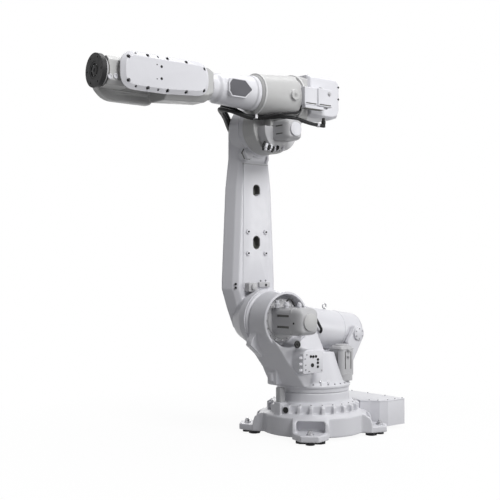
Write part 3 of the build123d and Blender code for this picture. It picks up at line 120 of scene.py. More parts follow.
FLOOR_FADE = (0.9, 2.6)


def add_lamp(name, place, aim, size, watts):
    """One square soft lamp, turned towards its aim."""
    data = bpy.data.lights.new(name, "AREA")
    data.size = size
    data.energy = watts
    lamp = bpy.data.objects.new(name, data)
    bpy.context.collection.objects.link(lamp)
    lamp.location = place
    lamp.rotation_euler = (Vector(aim) - Vector(place)).to_track_quat("-Z", "Y").to_euler()


def seen_directly(tree):
    """One for camera, glossy and transmission rays, and nothing for the rays that light."""
    path = tree.nodes.new("ShaderNodeLightPath")
    reach = path.outputs["Is Camera Ray"]
    for ray in ("Is Glossy Ray", "Is Transmission Ray"):
        either = tree.nodes.new("ShaderNodeMath")
        either.operation = "MAXIMUM"
        tree.links.new(reach, either.inputs[0])
        tree.links.new(path.outputs[ray], either.inputs[1])
        reach = either.outputs[0]
    return reach


def mixed_shader(tree, factor, first, second):
    """Two shaders mixed by a factor."""
    mix = tree.nodes.new("ShaderNodeMixShader")
    tree.links.new(factor, mix.inputs[0])
    tree.links.new(first, mix.inputs[1])
    tree.links.new(second, mix.inputs[2])
    return mix.outputs[0]


def add_world():
    """Soft ambient light, and a white background where it is seen."""
    world = bpy.data.worlds.new("studio")
    world.use_nodes = True
    bpy.context.scene.world = world
    tree = world.node_tree
    ambient = tree.nodes["Background"]
    ambient.inputs["Color"].default_value = AMBIENT_TINT
    ambient.inputs["Strength"].default_value = AMBIENT
    white = tree.nodes.new("ShaderNodeBackground")
    white.inputs["Color"].default_value = WHITE
    white.inputs["Strength"].default_value = 1.0
    mixed = mixed_shader(tree, seen_directly(tree), ambient.outputs[0], white.outputs[0])
    tree.links.new(mixed, tree.nodes["World Output"].inputs["Surface"])


def floor_material():
    """White where it is seen, with the object's shadow near it, and a dimmer light bounce."""
    material = bpy.data.materials.new("studio_floor")
    material.use_nodes = True
    tree = material.node_tree
    tree.nodes.remove(tree.nodes["Principled BSDF"])
    bounce = tree.nodes.new("ShaderNodeBsdfDiffuse")
    bounce.inputs["Color"].default_value = FLOOR_BOUNCE
    pale = tree.nodes.new("ShaderNodeBsdfDiffuse")
    pale.inputs["Color"].default_value = FLOOR_PAINT
    white = tree.nodes.new("ShaderNodeEmission")
    place = tree.nodes.new("ShaderNodeNewGeometry")
    away = tree.nodes.new("ShaderNodeVectorMath")
    away.operation = "LENGTH"
    tree.links.new(place.outputs["Position"], away.inputs[0])
    share = remap(tree, away.outputs["Value"], FLOOR_WHITE, 1.0, *FLOOR_FADE)
    look = mixed_shader(tree, share, pale.outputs[0], white.outputs[0])
    mixed = mixed_shader(tree, seen_directly(tree), bounce.outputs[0], look)
    tree.links.new(mixed, tree.nodes["Material Output"].inputs["Surface"])
    return material


def add_floor():
    """A wide pale floor, part of the stage."""
    mesh = bpy.data.meshes.new("studio_floor")
    reach = FLOOR_REACH
    corners = [(-reach, -reach, 0), (reach, -reach, 0), (reach, reach, 0), (-reach, reach, 0)]
    mesh.from_pydata(corners, [], [(0, 1, 2, 3)])
    floor = bpy.data.objects.new("studio_floor", mesh)
    bpy.context.collection.objects.link(floor)
    mesh.materials.append(floor_material())


# Materials

CLOUD_NOISE = (5.0, 3.0)
GLOSS_NOISE = (24.0, 4.0)
BUMP_DETAIL = 2.0
NOISE_RANGE = (0.35, 0.65)
CORNER_BEND = (0.42, 0.49)
EDGE_BEND = (0.52, 0.6)
MIX_COLORS = (6, 7)
MIX_RESULT = 2


def simple(name, color, roughness, metallic=0.0):
    """A new node material with its shader's plain values set."""
    material = bpy.data.materials.new(name)
    material.use_nodes = True
    shader = material.node_tree.nodes["Principled BSDF"]
    shader.inputs["Base Color"].default_value = (*color, 1.0)
    shader.inputs["Roughness"].default_value = roughness
    shader.inputs["Metallic"].default_value = metallic
    return material


def noise(tree, scale, detail, stretch=(1, 1, 1)):
    """Noise in object space, which turns with the piece."""
    place = tree.nodes.new("ShaderNodeTexCoord")
    mapping = tree.nodes.new("ShaderNodeMapping")
    mapping.inputs["Scale"].default_value = stretch
    texture = tree.nodes.new("ShaderNodeTexNoise")
    texture.inputs["Scale"].default_value = scale
    texture.inputs["Detail"].default_value = detail
    tree.links.new(place.outputs["Object"], mapping.inputs["Vector"])
    tree.links.new(mapping.outputs[0], texture.inputs["Vector"])
    return texture.outputs["Fac"]


def remap(tree, value, low, high, start=NOISE_RANGE[0], end=NOISE_RANGE[1]):
    """A value turned from the range start to end into the range low to high."""
    ranged = tree.nodes.new("ShaderNodeMapRange")
    ranged.inputs["From Min"].default_value = start
    ranged.inputs["From Max"].default_value = end
    ranged.inputs["To Min"].default_value = low
    ranged.inputs["To Max"].default_value = high
    tree.links.new(value, ranged.inputs["Value"])
    return ranged.outputs[0]


def blend_colors(tree, factor, first, second):
    """Two colours mixed by a factor. Each is a socket or three numbers."""
    mix = tree.nodes.new("ShaderNodeMix")
    mix.data_type = "RGBA"
    tree.links.new(factor, mix.inputs["Factor"])
    for key, color in zip(MIX_COLORS, (first, second)):
        if isinstance(color, tuple):
            mix.inputs[key].default_value = (*color, 1.0)
        else:
            tree.links.new(color, mix.inputs[key])
    return mix.outputs[MIX_RESULT]


def finish_material(
    name,
    color,
    cloud,
    roughness,
    spread,
    grain,
    depth,
    stretch=(1, 1, 1),
    metallic=0.0,
    shine=0.5,
):
    """A surface with slight colour clouds, uneven gloss and a fine bump."""
    material = simple(name, color, roughness, metallic)
    tree = material.node_tree
    shader = tree.nodes["Principled BSDF"]
    shader.inputs["Specular IOR Level"].default_value = shine
    clouds = noise(tree, *CLOUD_NOISE)
    tree.links.new(blend_colors(tree, clouds, color, cloud), shader.inputs["Base Color"])
    gloss = remap(tree, noise(tree, *GLOSS_NOISE), roughness - spread, roughness + spread)
    tree.links.new(gloss, shader.inputs["Roughness"])
    bump = tree.nodes.new("ShaderNodeBump")
    bump.inputs["Strength"].default_value = depth
    bump.inputs["Distance"].default_value = MM
    tree.links.new(noise(tree, grain, BUMP_DETAIL, stretch), bump.inputs["Height"])
    tree.links.new(bump.outputs[0], shader.inputs["Normal"])
    return material


def add_painted_shade_and_highlights(material, highlight_color, shade_color, highlight_share, shade_share):
    """Painted shade in hollow corners and a painted highlight along sharp edges, read from how
    sharply the surface bends.
    """
    tree = material.node_tree
    shader = tree.nodes["Principled BSDF"]
    base = shader.inputs["Base Color"].links[0].from_socket
    geometry = tree.nodes.new("ShaderNodeNewGeometry")
    bend = geometry.outputs["Pointiness"]
    # Where the surface bends inwards the colour darkens: painted shade.
    corner_shade = remap(tree, bend, shade_share, 0.0, *CORNER_BEND)
    # Where it bends sharply outwards the colour pales: a painted highlight.
    edge = remap(tree, bend, 0.0, highlight_share, *EDGE_BEND)
    corner_shaded = blend_colors(tree, corner_shade, base, shade_color)
    edge_highlighted = blend_colors(tree, edge, corner_shaded, highlight_color)
    tree.links.new(edge_highlighted, shader.inputs["Base Color"])


PAINT = (0.70, 0.70, 0.735)
PAINT_CLOUD = (0.66, 0.66, 0.69)

cast_paint = finish_material(
    "cast_paint", PAINT, PAINT_CLOUD, roughness=0.40, spread=0.06, grain=420.0, depth=0.10
)
# The cast paint darkens in hollow corners, painted shade, and pales on sharp edges, a painted
# highlight.
add_painted_shade_and_highlights(cast_paint, (0.84, 0.84, 0.86), (0.34, 0.34, 0.34), highlight_share=0.5, shade_share=0.55)
smooth_paint = finish_material(
    "smooth_paint", PAINT, PAINT_CLOUD, roughness=0.34, spread=0.05, grain=600.0, depth=0.05
)
# A darker copy of the white paint, painted shade, for the motors, gear units, brackets and other
# small parts.
shaded_motor_paint = finish_material(
    "shaded_motor_paint",
    color=(0.50, 0.50, 0.51),
    cloud=(0.45, 0.45, 0.46),
    roughness=0.42,
    spread=0.06,
    grain=500.0,
    depth=0.12,
)
# A darker copy of the white paint: painted shade on the upper arm housing, the wrist and tilt
# housings and the axis 2 motor cap.
shaded_housing_paint = finish_material(
    "shaded_housing_paint",
    color=(0.50, 0.50, 0.50),
    cloud=(0.45, 0.45, 0.445),
    roughness=0.40,
    spread=0.06,
    grain=420.0,
    depth=0.10,
)
# Its corners darken, painted shade, and its edges pale, a painted highlight.
add_painted_shade_and_highlights(shaded_housing_paint, (0.80, 0.80, 0.80), (0.28, 0.28, 0.27), highlight_share=0.5, shade_share=0.6)
# Near black, standing in for shade: painted shade on slot and window floors, in grooves and in
# seam gaps.
shade_paint = finish_material(
    "shade_paint",
    color=(0.15, 0.15, 0.14),
    cloud=(0.11, 0.11, 0.10),
    roughness=0.6,
    spread=0.06,
    grain=300.0,
    depth=0.2,
)
panel_grey = finish_material(
    "panel_grey",
    color=(0.105, 0.104, 0.117),
    cloud=(0.085, 0.085, 0.096),
    roughness=0.45,
    spread=0.05,
    grain=900.0,
    depth=0.25,
    shine=0.3,
)
rubber = finish_material(
    "rubber",
    color=(0.010, 0.010, 0.011),
    cloud=(0.016, 0.016, 0.017),
    roughness=0.5,
    spread=0.08,
    grain=350.0,
    depth=0.25,
    shine=0.25,
)
black_plastic = finish_material(
    "black_plastic",
    color=(0.014, 0.014, 0.015),
    cloud=(0.02, 0.02, 0.02),
    roughness=0.38,
    spread=0.06,
    grain=800.0,
    depth=0.2,
    shine=0.2,
)
black_steel = finish_material(
    "black_steel",
    color=(0.012, 0.012, 0.013),
    cloud=(0.022, 0.022, 0.024),
    roughness=0.42,
    spread=0.08,
    grain=260.0,
    depth=0.12,
    stretch=(1, 8, 8),
    metallic=0.1,
    shine=0.2,
)
zinc = finish_material(
    "zinc",
    color=(0.42, 0.42, 0.44),
    cloud=(0.34, 0.34, 0.35),
    roughness=0.34,
    spread=0.08,
    grain=300.0,
    depth=0.12,
    stretch=(6, 1, 1),
    metallic=1.0,
)

SLOT_FINISH = {
    "white_paint": smooth_paint,
    "dark_steel": black_steel,
    "dark_panel": panel_grey,
    "black_plastic": black_plastic,
    "black_rubber": rubber,
    "plain_steel": zinc,
}

# Building blocks. Each one adds a closed shape to a mesh under construction.

UP = Matrix()
LEFT = Matrix(((1, 0, 0, 0), (0, 0, 1, 0), (0, 1, 0, 0), (0, 0, 0, 1)))
FRONT = Matrix(((0, 0, 1, 0), (1, 0, 0, 0), (0, 1, 0, 0), (0, 0, 0, 1)))
UPWARDS = (0, 0, 1)
LEFTWARDS = (0, 1, 0)
FORWARDS = (1, 0, 0)
BACKWARDS = (-1, 0, 0)
CORNER_STEPS = 8
EDGE_STEPS = 3
LONGEST_CORNER = 0.49
SHARPEST_CORNER = 0.2
HEXAGON = 6
SIDES = 48
SCREW_SIDES = 12
CONNECTOR_SIDES = 20


def at(x, y, z, facing=UP):
    """A place with a facing: outlines are drawn across it, and depth runs along it."""
    return Matrix.Translation((x, y, z)) @ facing


def towards(place, direction):
    """A place whose depth runs along any direction."""
    turned = Vector(direction).to_track_quat("Z", "Y").to_matrix().to_4x4()
    return Matrix.Translation(place) @ turned


def circle(radius, count, offset=0.0):
    """Evenly spread places round a circle, turned on by a share of their spacing."""
    turns = [2 * math.pi * (i + offset) / count for i in range(count)]
    return [(radius * math.cos(turn), radius * math.sin(turn)) for turn in turns]


def arc(x, y, radius, start, end, steps):
    """Points along part of a circle, with both ends."""
    turns = [start + (end - start) * i / steps for i in range(steps + 1)]
    return [(x + radius * math.cos(turn), y + radius * math.sin(turn)) for turn in turns]


def new_shape():
    """An empty mesh under construction."""
    return bmesh.new()


def made(build, *places, **details):
    """A new mesh with one shape, which build adds to it."""
    shape = new_shape()
    build(shape, *places, **details)
    return shape


def raised(facing, flat, depth):
    """The points of an outline, at a depth along a facing."""
    return [facing @ Vector((*point, depth)) for point in flat]


def loft(shape, rings, hollow=False):
    """Skin a row of rings. Close both ends or, where hollow, join the last ring to the first."""
    rows = [[shape.verts.new(point * MM) for point in ring] for ring in rings]
    pairs = list(zip(rows, rows[1:]))
    if hollow:
        pairs.append((rows[-1], rows[0]))
    for low_row, high_row in pairs:
        for i in range(len(low_row)):
            j = (i + 1) % len(low_row)
            shape.faces.new((low_row[i], low_row[j], high_row[j], high_row[i]))
    if not hollow:
        shape.faces.new(rows[0])
        shape.faces.new(rows[-1])


def lathe(shape, facing, profile, sides=SIDES, hollow=False):
    """Turn a profile of radii and heights round the depth line."""
    rings = [raised(facing, circle(radius, sides), height) for radius, height in profile]
    loft(shape, rings, hollow)


def shrunk(points, inset):
    """The outline's corners, with every side moved inwards."""
    ring = [Vector(point) for point in points]
    following = ring[1:] + ring[:1]
    area = sum(a.x * b.y - b.x * a.y for a, b in zip(ring, following))
    turn = 1 if area > 0 else -1
    result = []
    for before, here, after in zip(ring[-1:] + ring[:-1], ring, following):
        first = (here - before).normalized()
        second = (after - here).normalized()
        inward = Vector((-first.y, first.x)) * turn
        also = Vector((-second.y, second.x)) * turn
        result.append(here + (inward + also) * (inset / (1 + inward.dot(also))))
    return result


def rounded(points, radius):
    """An outline with each corner turned into a short curve."""
    if radius <= 0:
        return [Vector(point) for point in points]
    result = []
    count = len(points)
    for i, corner in enumerate(points):
        here = Vector(corner)
        back = Vector(points[i - 1]) - here
        on = Vector(points[(i + 1) % count]) - here
        reach = radius / math.tan(back.angle(on) / 2)
        reach = min(reach, LONGEST_CORNER * back.length, LONGEST_CORNER * on.length)
        start = here + back.normalized() * reach
        end = here + on.normalized() * reach
        for k in range(CORNER_STEPS + 1):
            t = k / CORNER_STEPS
            result.append(start * (1 - t) ** 2 + here * 2 * t * (1 - t) + end * t**2)
    return result


def stepped(shape, facing, points, levels, corner=0.0):
    """A flat piece whose outline is drawn in by each level's inset, at that level's depth."""
    rings = []
    for inset, depth in levels:
        radius = max(corner - inset, SHARPEST_CORNER) if corner else 0
        rings.append(raised(facing, rounded(shrunk(points, inset), radius), depth))
    loft(shape, rings)


def plate(shape, facing, points, low, high, corner=0.0, edge=1.0):
    """A flat piece with round corners and a rounded edge at its outer face, which is at high."""
    levels = [(0, low)]
    outwards = 1 if high > low else -1
    for k in range(EDGE_STEPS + 1):
        turn = math.pi / 2 * k / EDGE_STEPS
        levels.append((edge * (1 - math.cos(turn)), high - outwards * edge * (1 - math.sin(turn))))
    stepped(shape, facing, points, levels, corner)


def box_outline(x, y, width, height):
    """The four corners of a rectangle about a centre."""
    left, right = x - width / 2, x + width / 2
    bottom, top = y - height / 2, y + height / 2
    return [(left, bottom), (right, bottom), (right, top), (left, top)]


def disc(shape, facing, radius, low, high, edge=1.5, sides=SIDES):
    """A round plate with a rounded rim at its outer face."""
    outwards = 1 if high > low else -1
    profile = [
        (radius, low),
        (radius, high - outwards * edge),
        (radius - 0.3 * edge, high - outwards * 0.3 * edge),
        (radius - edge, high),
    ]
    lathe(shape, facing, profile, sides)


def screw(shape, place, direction, radius):
    """A screw's round head with its socket."""
    profile = [
        (radius, -1.0),
        (radius, 0.8 * radius),
        (0.88 * radius, 0.95 * radius),
        (0.56 * radius, 0.95 * radius),
        (0.5 * radius, 0.4 * radius),
    ]
    lathe(shape, towards(place, direction), profile, SCREW_SIDES)


def screw_circle(shape, facing, radius, count, depth, size, offset=0.0, outwards=1):
    """A circle of screws across a facing, at a depth along it."""
    direction = facing.to_3x3() @ Vector((0, 0, outwards))
    for x, y in circle(radius, count, offset):
        screw(shape, facing @ Vector((x, y, depth)), direction, size)


def connector(shape, place, direction, radius, length):
    """A round cable connector with a grip ring and a nose."""
    profile = [
        (radius, -2.0),
        (radius, 0.3 * length),
        (1.15 * radius, 0.34 * length),
        (1.15 * radius, 0.62 * length),
        (0.86 * radius, 0.68 * length),
        (0.8 * radius, 0.95 * length),
        (0.66 * radius, length),
    ]
    lathe(shape, towards(place, direction), profile, CONNECTOR_SIDES)


def connectors(plugs, direction):
    """Connectors that point one way, each given by its place, radius and length."""
    shape = new_shape()
    for place, radius, length in plugs:
        connector(shape, place, direction, radius, length)
    return shape


# Finished pieces

SHARP_TURN = math.radians(32)
WELD = 0.01
SKIN_SOFTNESS = 0.5
CABLE_ROUNDNESS = 4
CABLE_STEPS = 10
SPLINE_ORDER = 3


def add_object(name, data, material):
    """A new object with one material, in the scene."""
    data.materials.clear()
    data.materials.append(material)
    piece = bpy.data.objects.new(name, data)
    bpy.context.collection.objects.link(piece)
    return piece


def add_piece(name, shape, material, body=None, node=None):
    """A finished piece on its body, or on that of the node that it stands for."""
    if isinstance(shape, bpy.types.Mesh):
        mesh = shape
    else:
        bmesh.ops.recalc_face_normals(shape, faces=shape.faces)
        mesh = bpy.data.meshes.new(name)
        shape.to_mesh(mesh)
        shape.free()
        mesh.shade_smooth()
        mesh.set_sharp_from_angle(angle=SHARP_TURN)
    piece = add_object(name, mesh, material)
    if node:
        body = BODY_OF[node]
        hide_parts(node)
    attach(piece, body)


def baked(source, modify):
    """The mesh of a shape after modifiers, which modify(object) adds."""
    mesh = bpy.data.meshes.new("baking")
    source.to_mesh(mesh)
    helper = bpy.data.objects.new("baking", mesh)
    bpy.context.collection.objects.link(helper)
    modify(helper)
    graph = bpy.context.evaluated_depsgraph_get()
    result = bpy.data.meshes.new_from_object(helper.evaluated_get(graph))
    bpy.data.objects.remove(helper)
    bpy.data.meshes.remove(mesh)
    return result


def cast(name, shape, voxel, rounds):
    """Closed shapes joined into one skin with soft edges and fillets, as a casting has."""

    def soften(helper):
        remesh = helper.modifiers.new("skin", "REMESH")
        remesh.mode = "VOXEL"
        remesh.voxel_size = voxel * MM
        remesh.use_smooth_shade = True
        smooth = helper.modifiers.new("soften", "SMOOTH")
        smooth.factor = SKIN_SOFTNESS
        smooth.iterations = rounds

    mesh = baked(shape, soften)
    mesh.name = name
    shape.free()
    return mesh


def from_node(name):
    """The CAD mesh of a node, as a mesh under construction."""
    shape = new_shape()
    shape.from_mesh(nodes[name].data)
    bmesh.ops.remove_doubles(shape, verts=shape.verts, dist=WELD * MM)
    return shape


def add_casting(name, node, material, voxel, rounds, shape=None):
    """The soft skin that stands for a casting's node, with its shape as the CAD has it or more."""
    skin = cast(name, shape or from_node(node), voxel, rounds)
    add_piece(name, skin, material, node=node)


def carved(shape, tool):
    """A shape with another one cut out of it."""
    tool_mesh = bpy.data.meshes.new("tool")
    bmesh.ops.recalc_face_normals(tool, faces=tool.faces)
    tool.to_mesh(tool_mesh)
    tool.free()
    tool_object = bpy.data.objects.new("tool", tool_mesh)
    bpy.context.collection.objects.link(tool_object)
    bmesh.ops.recalc_face_normals(shape, faces=shape.faces)

    def cut(helper):
        boolean = helper.modifiers.new("cut", "BOOLEAN")
        boolean.operation = "DIFFERENCE"
        boolean.solver = "EXACT"
        boolean.object = tool_object

    mesh = baked(shape, cut)
    shape.free()
    bpy.data.objects.remove(tool_object)
    bpy.data.meshes.remove(tool_mesh)
    result = new_shape()
    result.from_mesh(mesh)
    bpy.data.meshes.remove(mesh)
    return result


def add_oil_plug(body, facing, cap, key, sides):
    """The round black oil plug of a body, with a hexagon on it."""
    plug = new_shape()
    lathe(plug, facing, cap, sides)
    lathe(plug, facing, key, HEXAGON)
    add_piece(f"{body}_plug_cap", plug, black_plastic, node=f"{body}_oil_plug")


def cable_curve(name, route, radius):
    """A smooth cable through the bends of its route."""
    data = bpy.data.curves.new(name, "CURVE")
    data.dimensions = "3D"
    data.bevel_depth = radius * MM
    data.bevel_resolution = CABLE_ROUNDNESS
    data.resolution_u = CABLE_STEPS
    data.use_fill_caps = True
    spline = data.splines.new("NURBS")
    spline.points.add(len(route) - 1)
    for point, place in zip(spline.points, route):
        point.co = (*[value * MM for value in place], 1.0)
    spline.order_u = SPLINE_ORDER
    spline.use_endpoint_u = True
    return data


def add_cable(name, route, radius, body, node=None):
    """A cable that rides on one body, as a curve."""
    piece = add_object(name, cable_curve(name, route, radius), rubber)
    if node:
        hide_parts(node)
    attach(piece, body)


def cable_piece(name, route, radius):
    """A cable as a mesh, on no body."""
    helper = bpy.data.objects.new(name, cable_curve(name, route, radius))
    bpy.context.collection.objects.link(helper)
    graph = bpy.context.evaluated_depsgraph_get()
    mesh = bpy.data.meshes.new_from_object(helper.evaluated_get(graph))
    bpy.data.objects.remove(helper)
    mesh.shade_smooth()
    return add_object(name, mesh, rubber)


# Stage, and the finish of the nodes that stay as they are

add_camera()
add_world()
add_floor()
for lamp_name, lamp in LAMPS.items():
    add_lamp(lamp_name, **lamp)

for name, obj in nodes.items():
    obj.data.materials.clear()
    obj.data.materials.append(SLOT_FINISH[SLOT_OF[name]])

# Base: casting, foot bolts, shoulder screws, connector box, stop pin and plug

FOOT_COUNT = 4
FOOT_BOLT_RADIUS = 452
FOOT_TOE_TOP_Z = 63
FOOT_WASHER = [(24, -1), (24, 4), (22.5, 5)]
FOOT_BOLT_HEAD = [(18, 5), (18, 18), (15.5, 20)]
FOOT_BOLT_END = [(11, 20), (11, 27), (9, 28.5)]

add_casting("base_casting_skin", "base_casting", cast_paint, voxel=5.0, rounds=5)

foot_bolts = new_shape()
for x, y in circle(FOOT_BOLT_RADIUS, FOOT_COUNT, 0.5):
    spot = at(x, y, FOOT_TOE_TOP_Z)
    lathe(foot_bolts, spot, FOOT_WASHER, sides=32)
    lathe(foot_bolts, spot, FOOT_BOLT_HEAD, sides=HEXAGON)
    lathe(foot_bolts, spot, FOOT_BOLT_END, sides=20)
add_piece("foot_bolts", foot_bolts, zinc, "base")

base_screws = made(screw_circle, UP, radius=280, count=24, depth=223.5, size=5)
add_piece("base_shoulder_screws", base_screws, zinc, "base")

DRUM_RADIUS = 349
DRUM_GAP = 0.5
DRUM_ROOM_BOTTOM_Z = -10
DRUM_ROOM_TOP_Z = 300
BOX_REAR_X = -644
BOX_FLANK = [(-200, 89), (-292, 107), (-372, 186), (-412, 236), (-470, 262), (BOX_REAR_X, 262)]
BOX_OUTLINE = [(x, -y) for x, y in BOX_FLANK] + [(x, y) for x, y in reversed(BOX_FLANK)]
BOX_BOTTOM_Z = 26
BOX_TOP_Z = 195.5
LID_BOTTOM_Z = 196.5
LID_TOP_Z = 205
LID_SCREWS = ((-630, 248), (-555, 248), (-480, 248), (-412, 220), (-630, 85), (-378, 170))


def drum_room():
    """The round room that the base casting takes up in the connector box and in its lid."""
    radius = DRUM_RADIUS + DRUM_GAP
    return made(lathe, UP, [(radius, DRUM_ROOM_BOTTOM_Z), (radius, DRUM_ROOM_TOP_Z)], sides=96)


for name, node, low, high in (
    ("connector_box_shell", "connector_box", BOX_BOTTOM_Z, BOX_TOP_Z),
    ("box_lid_plate", "box_lid", LID_BOTTOM_Z, LID_TOP_Z),
):
    slab = made(plate, UP, BOX_OUTLINE, low, high, corner=10, edge=3)
    add_piece(name, carved(slab, drum_room()), smooth_paint, node=node)

lid_screws = new_shape()
for x, y in LID_SCREWS:
    for side in (-1, 1):
        screw(lid_screws, (x, side * y, LID_TOP_Z), UPWARDS, 5)
add_piece("box_lid_screws", lid_screws, zinc, "base")

# The box's rear plates and sockets

REAR_PLATES = ((-150, 150), (60, 210))
REAR_PLATE_Z = 112
REAR_PLATE_HEIGHT = 110
REAR_PLATE_DEPTHS = (8, 0.1)
SMALL_SOCKETS = ((-190, 130, 17), (-150, 130, 17), (-110, 130, 17))
LARGE_SOCKETS = ((-150, 85, 22), (-5, 112, 26), (60, 112, 26), (125, 112, 26))
SOCKET_FLOOR_X = -632
box_plates = new_shape()
for y, width in REAR_PLATES:
    outline = box_outline(0, 0, width, REAR_PLATE_HEIGHT)
    spot = at(BOX_REAR_X, y, REAR_PLATE_Z, FRONT)
    plate(box_plates, spot, outline, *REAR_PLATE_DEPTHS, corner=6)
add_piece("box_rear_plates", box_plates, shaded_motor_paint, "base")
box_sockets = new_shape()
for y, z, radius in SMALL_SOCKETS + LARGE_SOCKETS:
    profile = [(radius, 0), (radius, -11.5), (0.8 * radius, -11.9), (0.7 * radius, -6)]
    lathe(box_sockets, at(SOCKET_FLOOR_X, y, z, FRONT), profile, sides=24)
add_piece("box_rear_sockets", box_sockets, black_plastic, "base")

STOP_PIN_OUTLINE = box_outline(305, 14, 46, 46)
STOP_PIN_BOTTOM_Z = 238
STOP_PIN_TOP_Z = 333
stop_pin = made(plate, UP, STOP_PIN_OUTLINE, STOP_PIN_BOTTOM_Z, STOP_PIN_TOP_Z, corner=9, edge=3)
add_piece("stop_pin_block", stop_pin, shaded_motor_paint, node="axis_1_stop_pin")

BASE_PLUG_TURN = math.radians(13)
BASE_PLUG_RADIUS = 314.3
BASE_PLUG_Z = 190
BASE_PLUG_CAP = [(20, 0), (20, 6), (18, 8), (12, 8)]
BASE_PLUG_KEY = [(10.5, 7), (10.5, 11), (9, 12)]
outwards = Vector((math.cos(BASE_PLUG_TURN), math.sin(BASE_PLUG_TURN), 0))
base_plug_facing = towards(outwards * BASE_PLUG_RADIUS + Vector((0, 0, BASE_PLUG_Z)), outwards)
add_oil_plug("base", base_plug_facing, BASE_PLUG_CAP, BASE_PLUG_KEY, sides=32)

# Turret: casting with its front lug and rear ribs, drum rim and axis 2 gear

LUG_BASE = box_outline(-20, 402, 92, 104)
LUG_BASE_X = (300, 352)
LUG_FACE = box_outline(-20, 402, 40, 60)
LUG_FACE_X = (340, 374)
REAR_RIB = [(-96, 360), (-96, 470), (-110, 470), (-230, 400), (-230, 360)]
REAR_RIB_SIDES = (-52, 12)
REAR_RIB_WIDTH = 14
turret = from_node("turret_casting")
plate(turret, FRONT, LUG_BASE, *LUG_BASE_X, corner=10, edge=3)
plate(turret, FRONT, LUG_FACE, *LUG_FACE_X, corner=6, edge=3)
for y in REAR_RIB_SIDES:
    plate(turret, LEFT, REAR_RIB, y, y + REAR_RIB_WIDTH)
add_casting("turret_casting_skin", "turret_casting", cast_paint, voxel=5.0, rounds=5, shape=turret)

SHOULDER = at(SHOULDER_X, 0, SHOULDER_Z, LEFT)
DRUM_RIM = [(190.5, 84), (190.5, 93), (187, 97), (176, 97), (172.5, 93), (172.5, 84)]
drum_rim = made(lathe, SHOULDER, DRUM_RIM, sides=96, hollow=True)
add_piece("shoulder_drum_rim", drum_rim, smooth_paint, "turret")

GEAR_2 = [(145, 14.3), (145, 40), (142, 43), (122, 43), (118, 49.7), (60, 49.7)]
gear_2 = made(lathe, SHOULDER, GEAR_2, sides=72)
add_piece("axis_2_gear_disc", gear_2, shaded_motor_paint, node="axis_2_gear_unit")
gear_2_screws = made(screw_circle, SHOULDER, radius=132, count=16, depth=43, size=6)
add_piece("axis_2_gear_screws", gear_2_screws, zinc, "turret")

# Motors: square, with round corners, a drawn-in end and long slots in their sides

MOTOR_END = ((0, 0.6), (0.05, 0.36), (0.13, 0.17), (0.22, 0.05), (0.32, 0))
SLOT_CUT = 22
SLOT_FLOOR = 8
SLOT_FLOOR_INSET = 9
SLOT_FLOOR_OVERLAP = 1
MOTOR_CORNER = 0.5


def slot_outlines(middle, deep, wide, gap):
    """The outlines of a square motor's eight slots, two on each side, across its line."""
    outlines = []
    for side in (-1, 1):
        for offset in (-gap, gap):
            outlines.append(box_outline(side * middle, offset, deep, wide))
            outlines.append(box_outline(offset, side * middle, wide, deep))
    return outlines


def motor_body(facing, half, low, high, slots):
    """A motor between two depths. Its slots have a start, an end, a sideways place and a width."""
    shape = new_shape()
    ends = [(0, low)] + [(inset * half, high - back * half) for inset, back in MOTOR_END]
    stepped(shape, facing, box_outline(0, 0, 2 * half, 2 * half), ends, MOTOR_CORNER * half)
    start, end, gap, width = slots
    tool = new_shape()
    for outline in slot_outlines(half, SLOT_CUT, width, gap):
        plate(tool, facing, outline, start, end, corner=1.5)
    return carved(shape, tool)


def slot_floors(facing, half, slots):
    """The floors of a motor's slots, dark with painted shade."""
    start, end, gap, width = slots
    over = SLOT_FLOOR_OVERLAP
    shape = new_shape()
    for outline in slot_outlines(half - SLOT_FLOOR_INSET, SLOT_FLOOR, width + 2 * over, gap):
        plate(shape, facing, outline, start - over, end + over, edge=0.5)
    return shape


def add_motor(number, shape, facing, half, slots):
    """A motor's finished body, and the floors of its slots in painted shade."""
    node = f"axis_{number}_motor"
    add_piece(f"{node}_body", shape, shaded_motor_paint, node=node)
    floors = slot_floors(facing, half, slots)
    add_piece(f"{node}_slots", floors, shade_paint, BODY_OF[node])


MOTOR_2_HALF = 88.5
MOTOR_2_DEPTHS = (50, 318)
MOTOR_2_CAP = (56, 310, 330)
MOTOR_2_SLOTS = (99, 216, 36, 15)
MOTOR_2_BANDS = ((50, 66), (228, 236))
MOTOR_2_BAND_WIDTH = 178
MOTOR_2_SIDE_PLUG = at(SHOULDER_X + 88, 262, 772, FRONT)
MOTOR_2_PLUGS = (
    ((372, 150, 868), 17, 40),
    ((336, 236, 868), 14, 34),
    ((400, 92, 868), 15, 46),
)
MOTOR_2_LEAD = [
    (372, 154, 903), (372, 156, 912), (350, 150, 925),
    (300, 120, 918), (262, 92, 893), (240, 82, 874),
]
motor_2 = motor_body(SHOULDER, MOTOR_2_HALF, *MOTOR_2_DEPTHS, MOTOR_2_SLOTS)
band = box_outline(0, 0, MOTOR_2_BAND_WIDTH, MOTOR_2_BAND_WIDTH)
for low, high in MOTOR_2_BANDS:
    plate(motor_2, SHOULDER, band, low, high, corner=28)
add_motor(2, motor_2, SHOULDER, MOTOR_2_HALF, MOTOR_2_SLOTS)
motor_2_cap = made(disc, SHOULDER, *MOTOR_2_CAP, edge=4, sides=64)
add_piece("axis_2_motor_cap", motor_2_cap, shaded_housing_paint, "turret")
side_plug = made(lathe, MOTOR_2_SIDE_PLUG, [(7, 0), (7, 2), (5.5, 3)], sides=20)
add_piece("axis_2_motor_side_plug", side_plug, black_plastic, "turret")
motor_2_plugs = connectors(MOTOR_2_PLUGS, (0.1, 0.15, 1))
add_piece("axis_2_motor_plugs", motor_2_plugs, smooth_paint, "turret")
add_cable("axis_2_motor_lead", MOTOR_2_LEAD, 6, "turret")

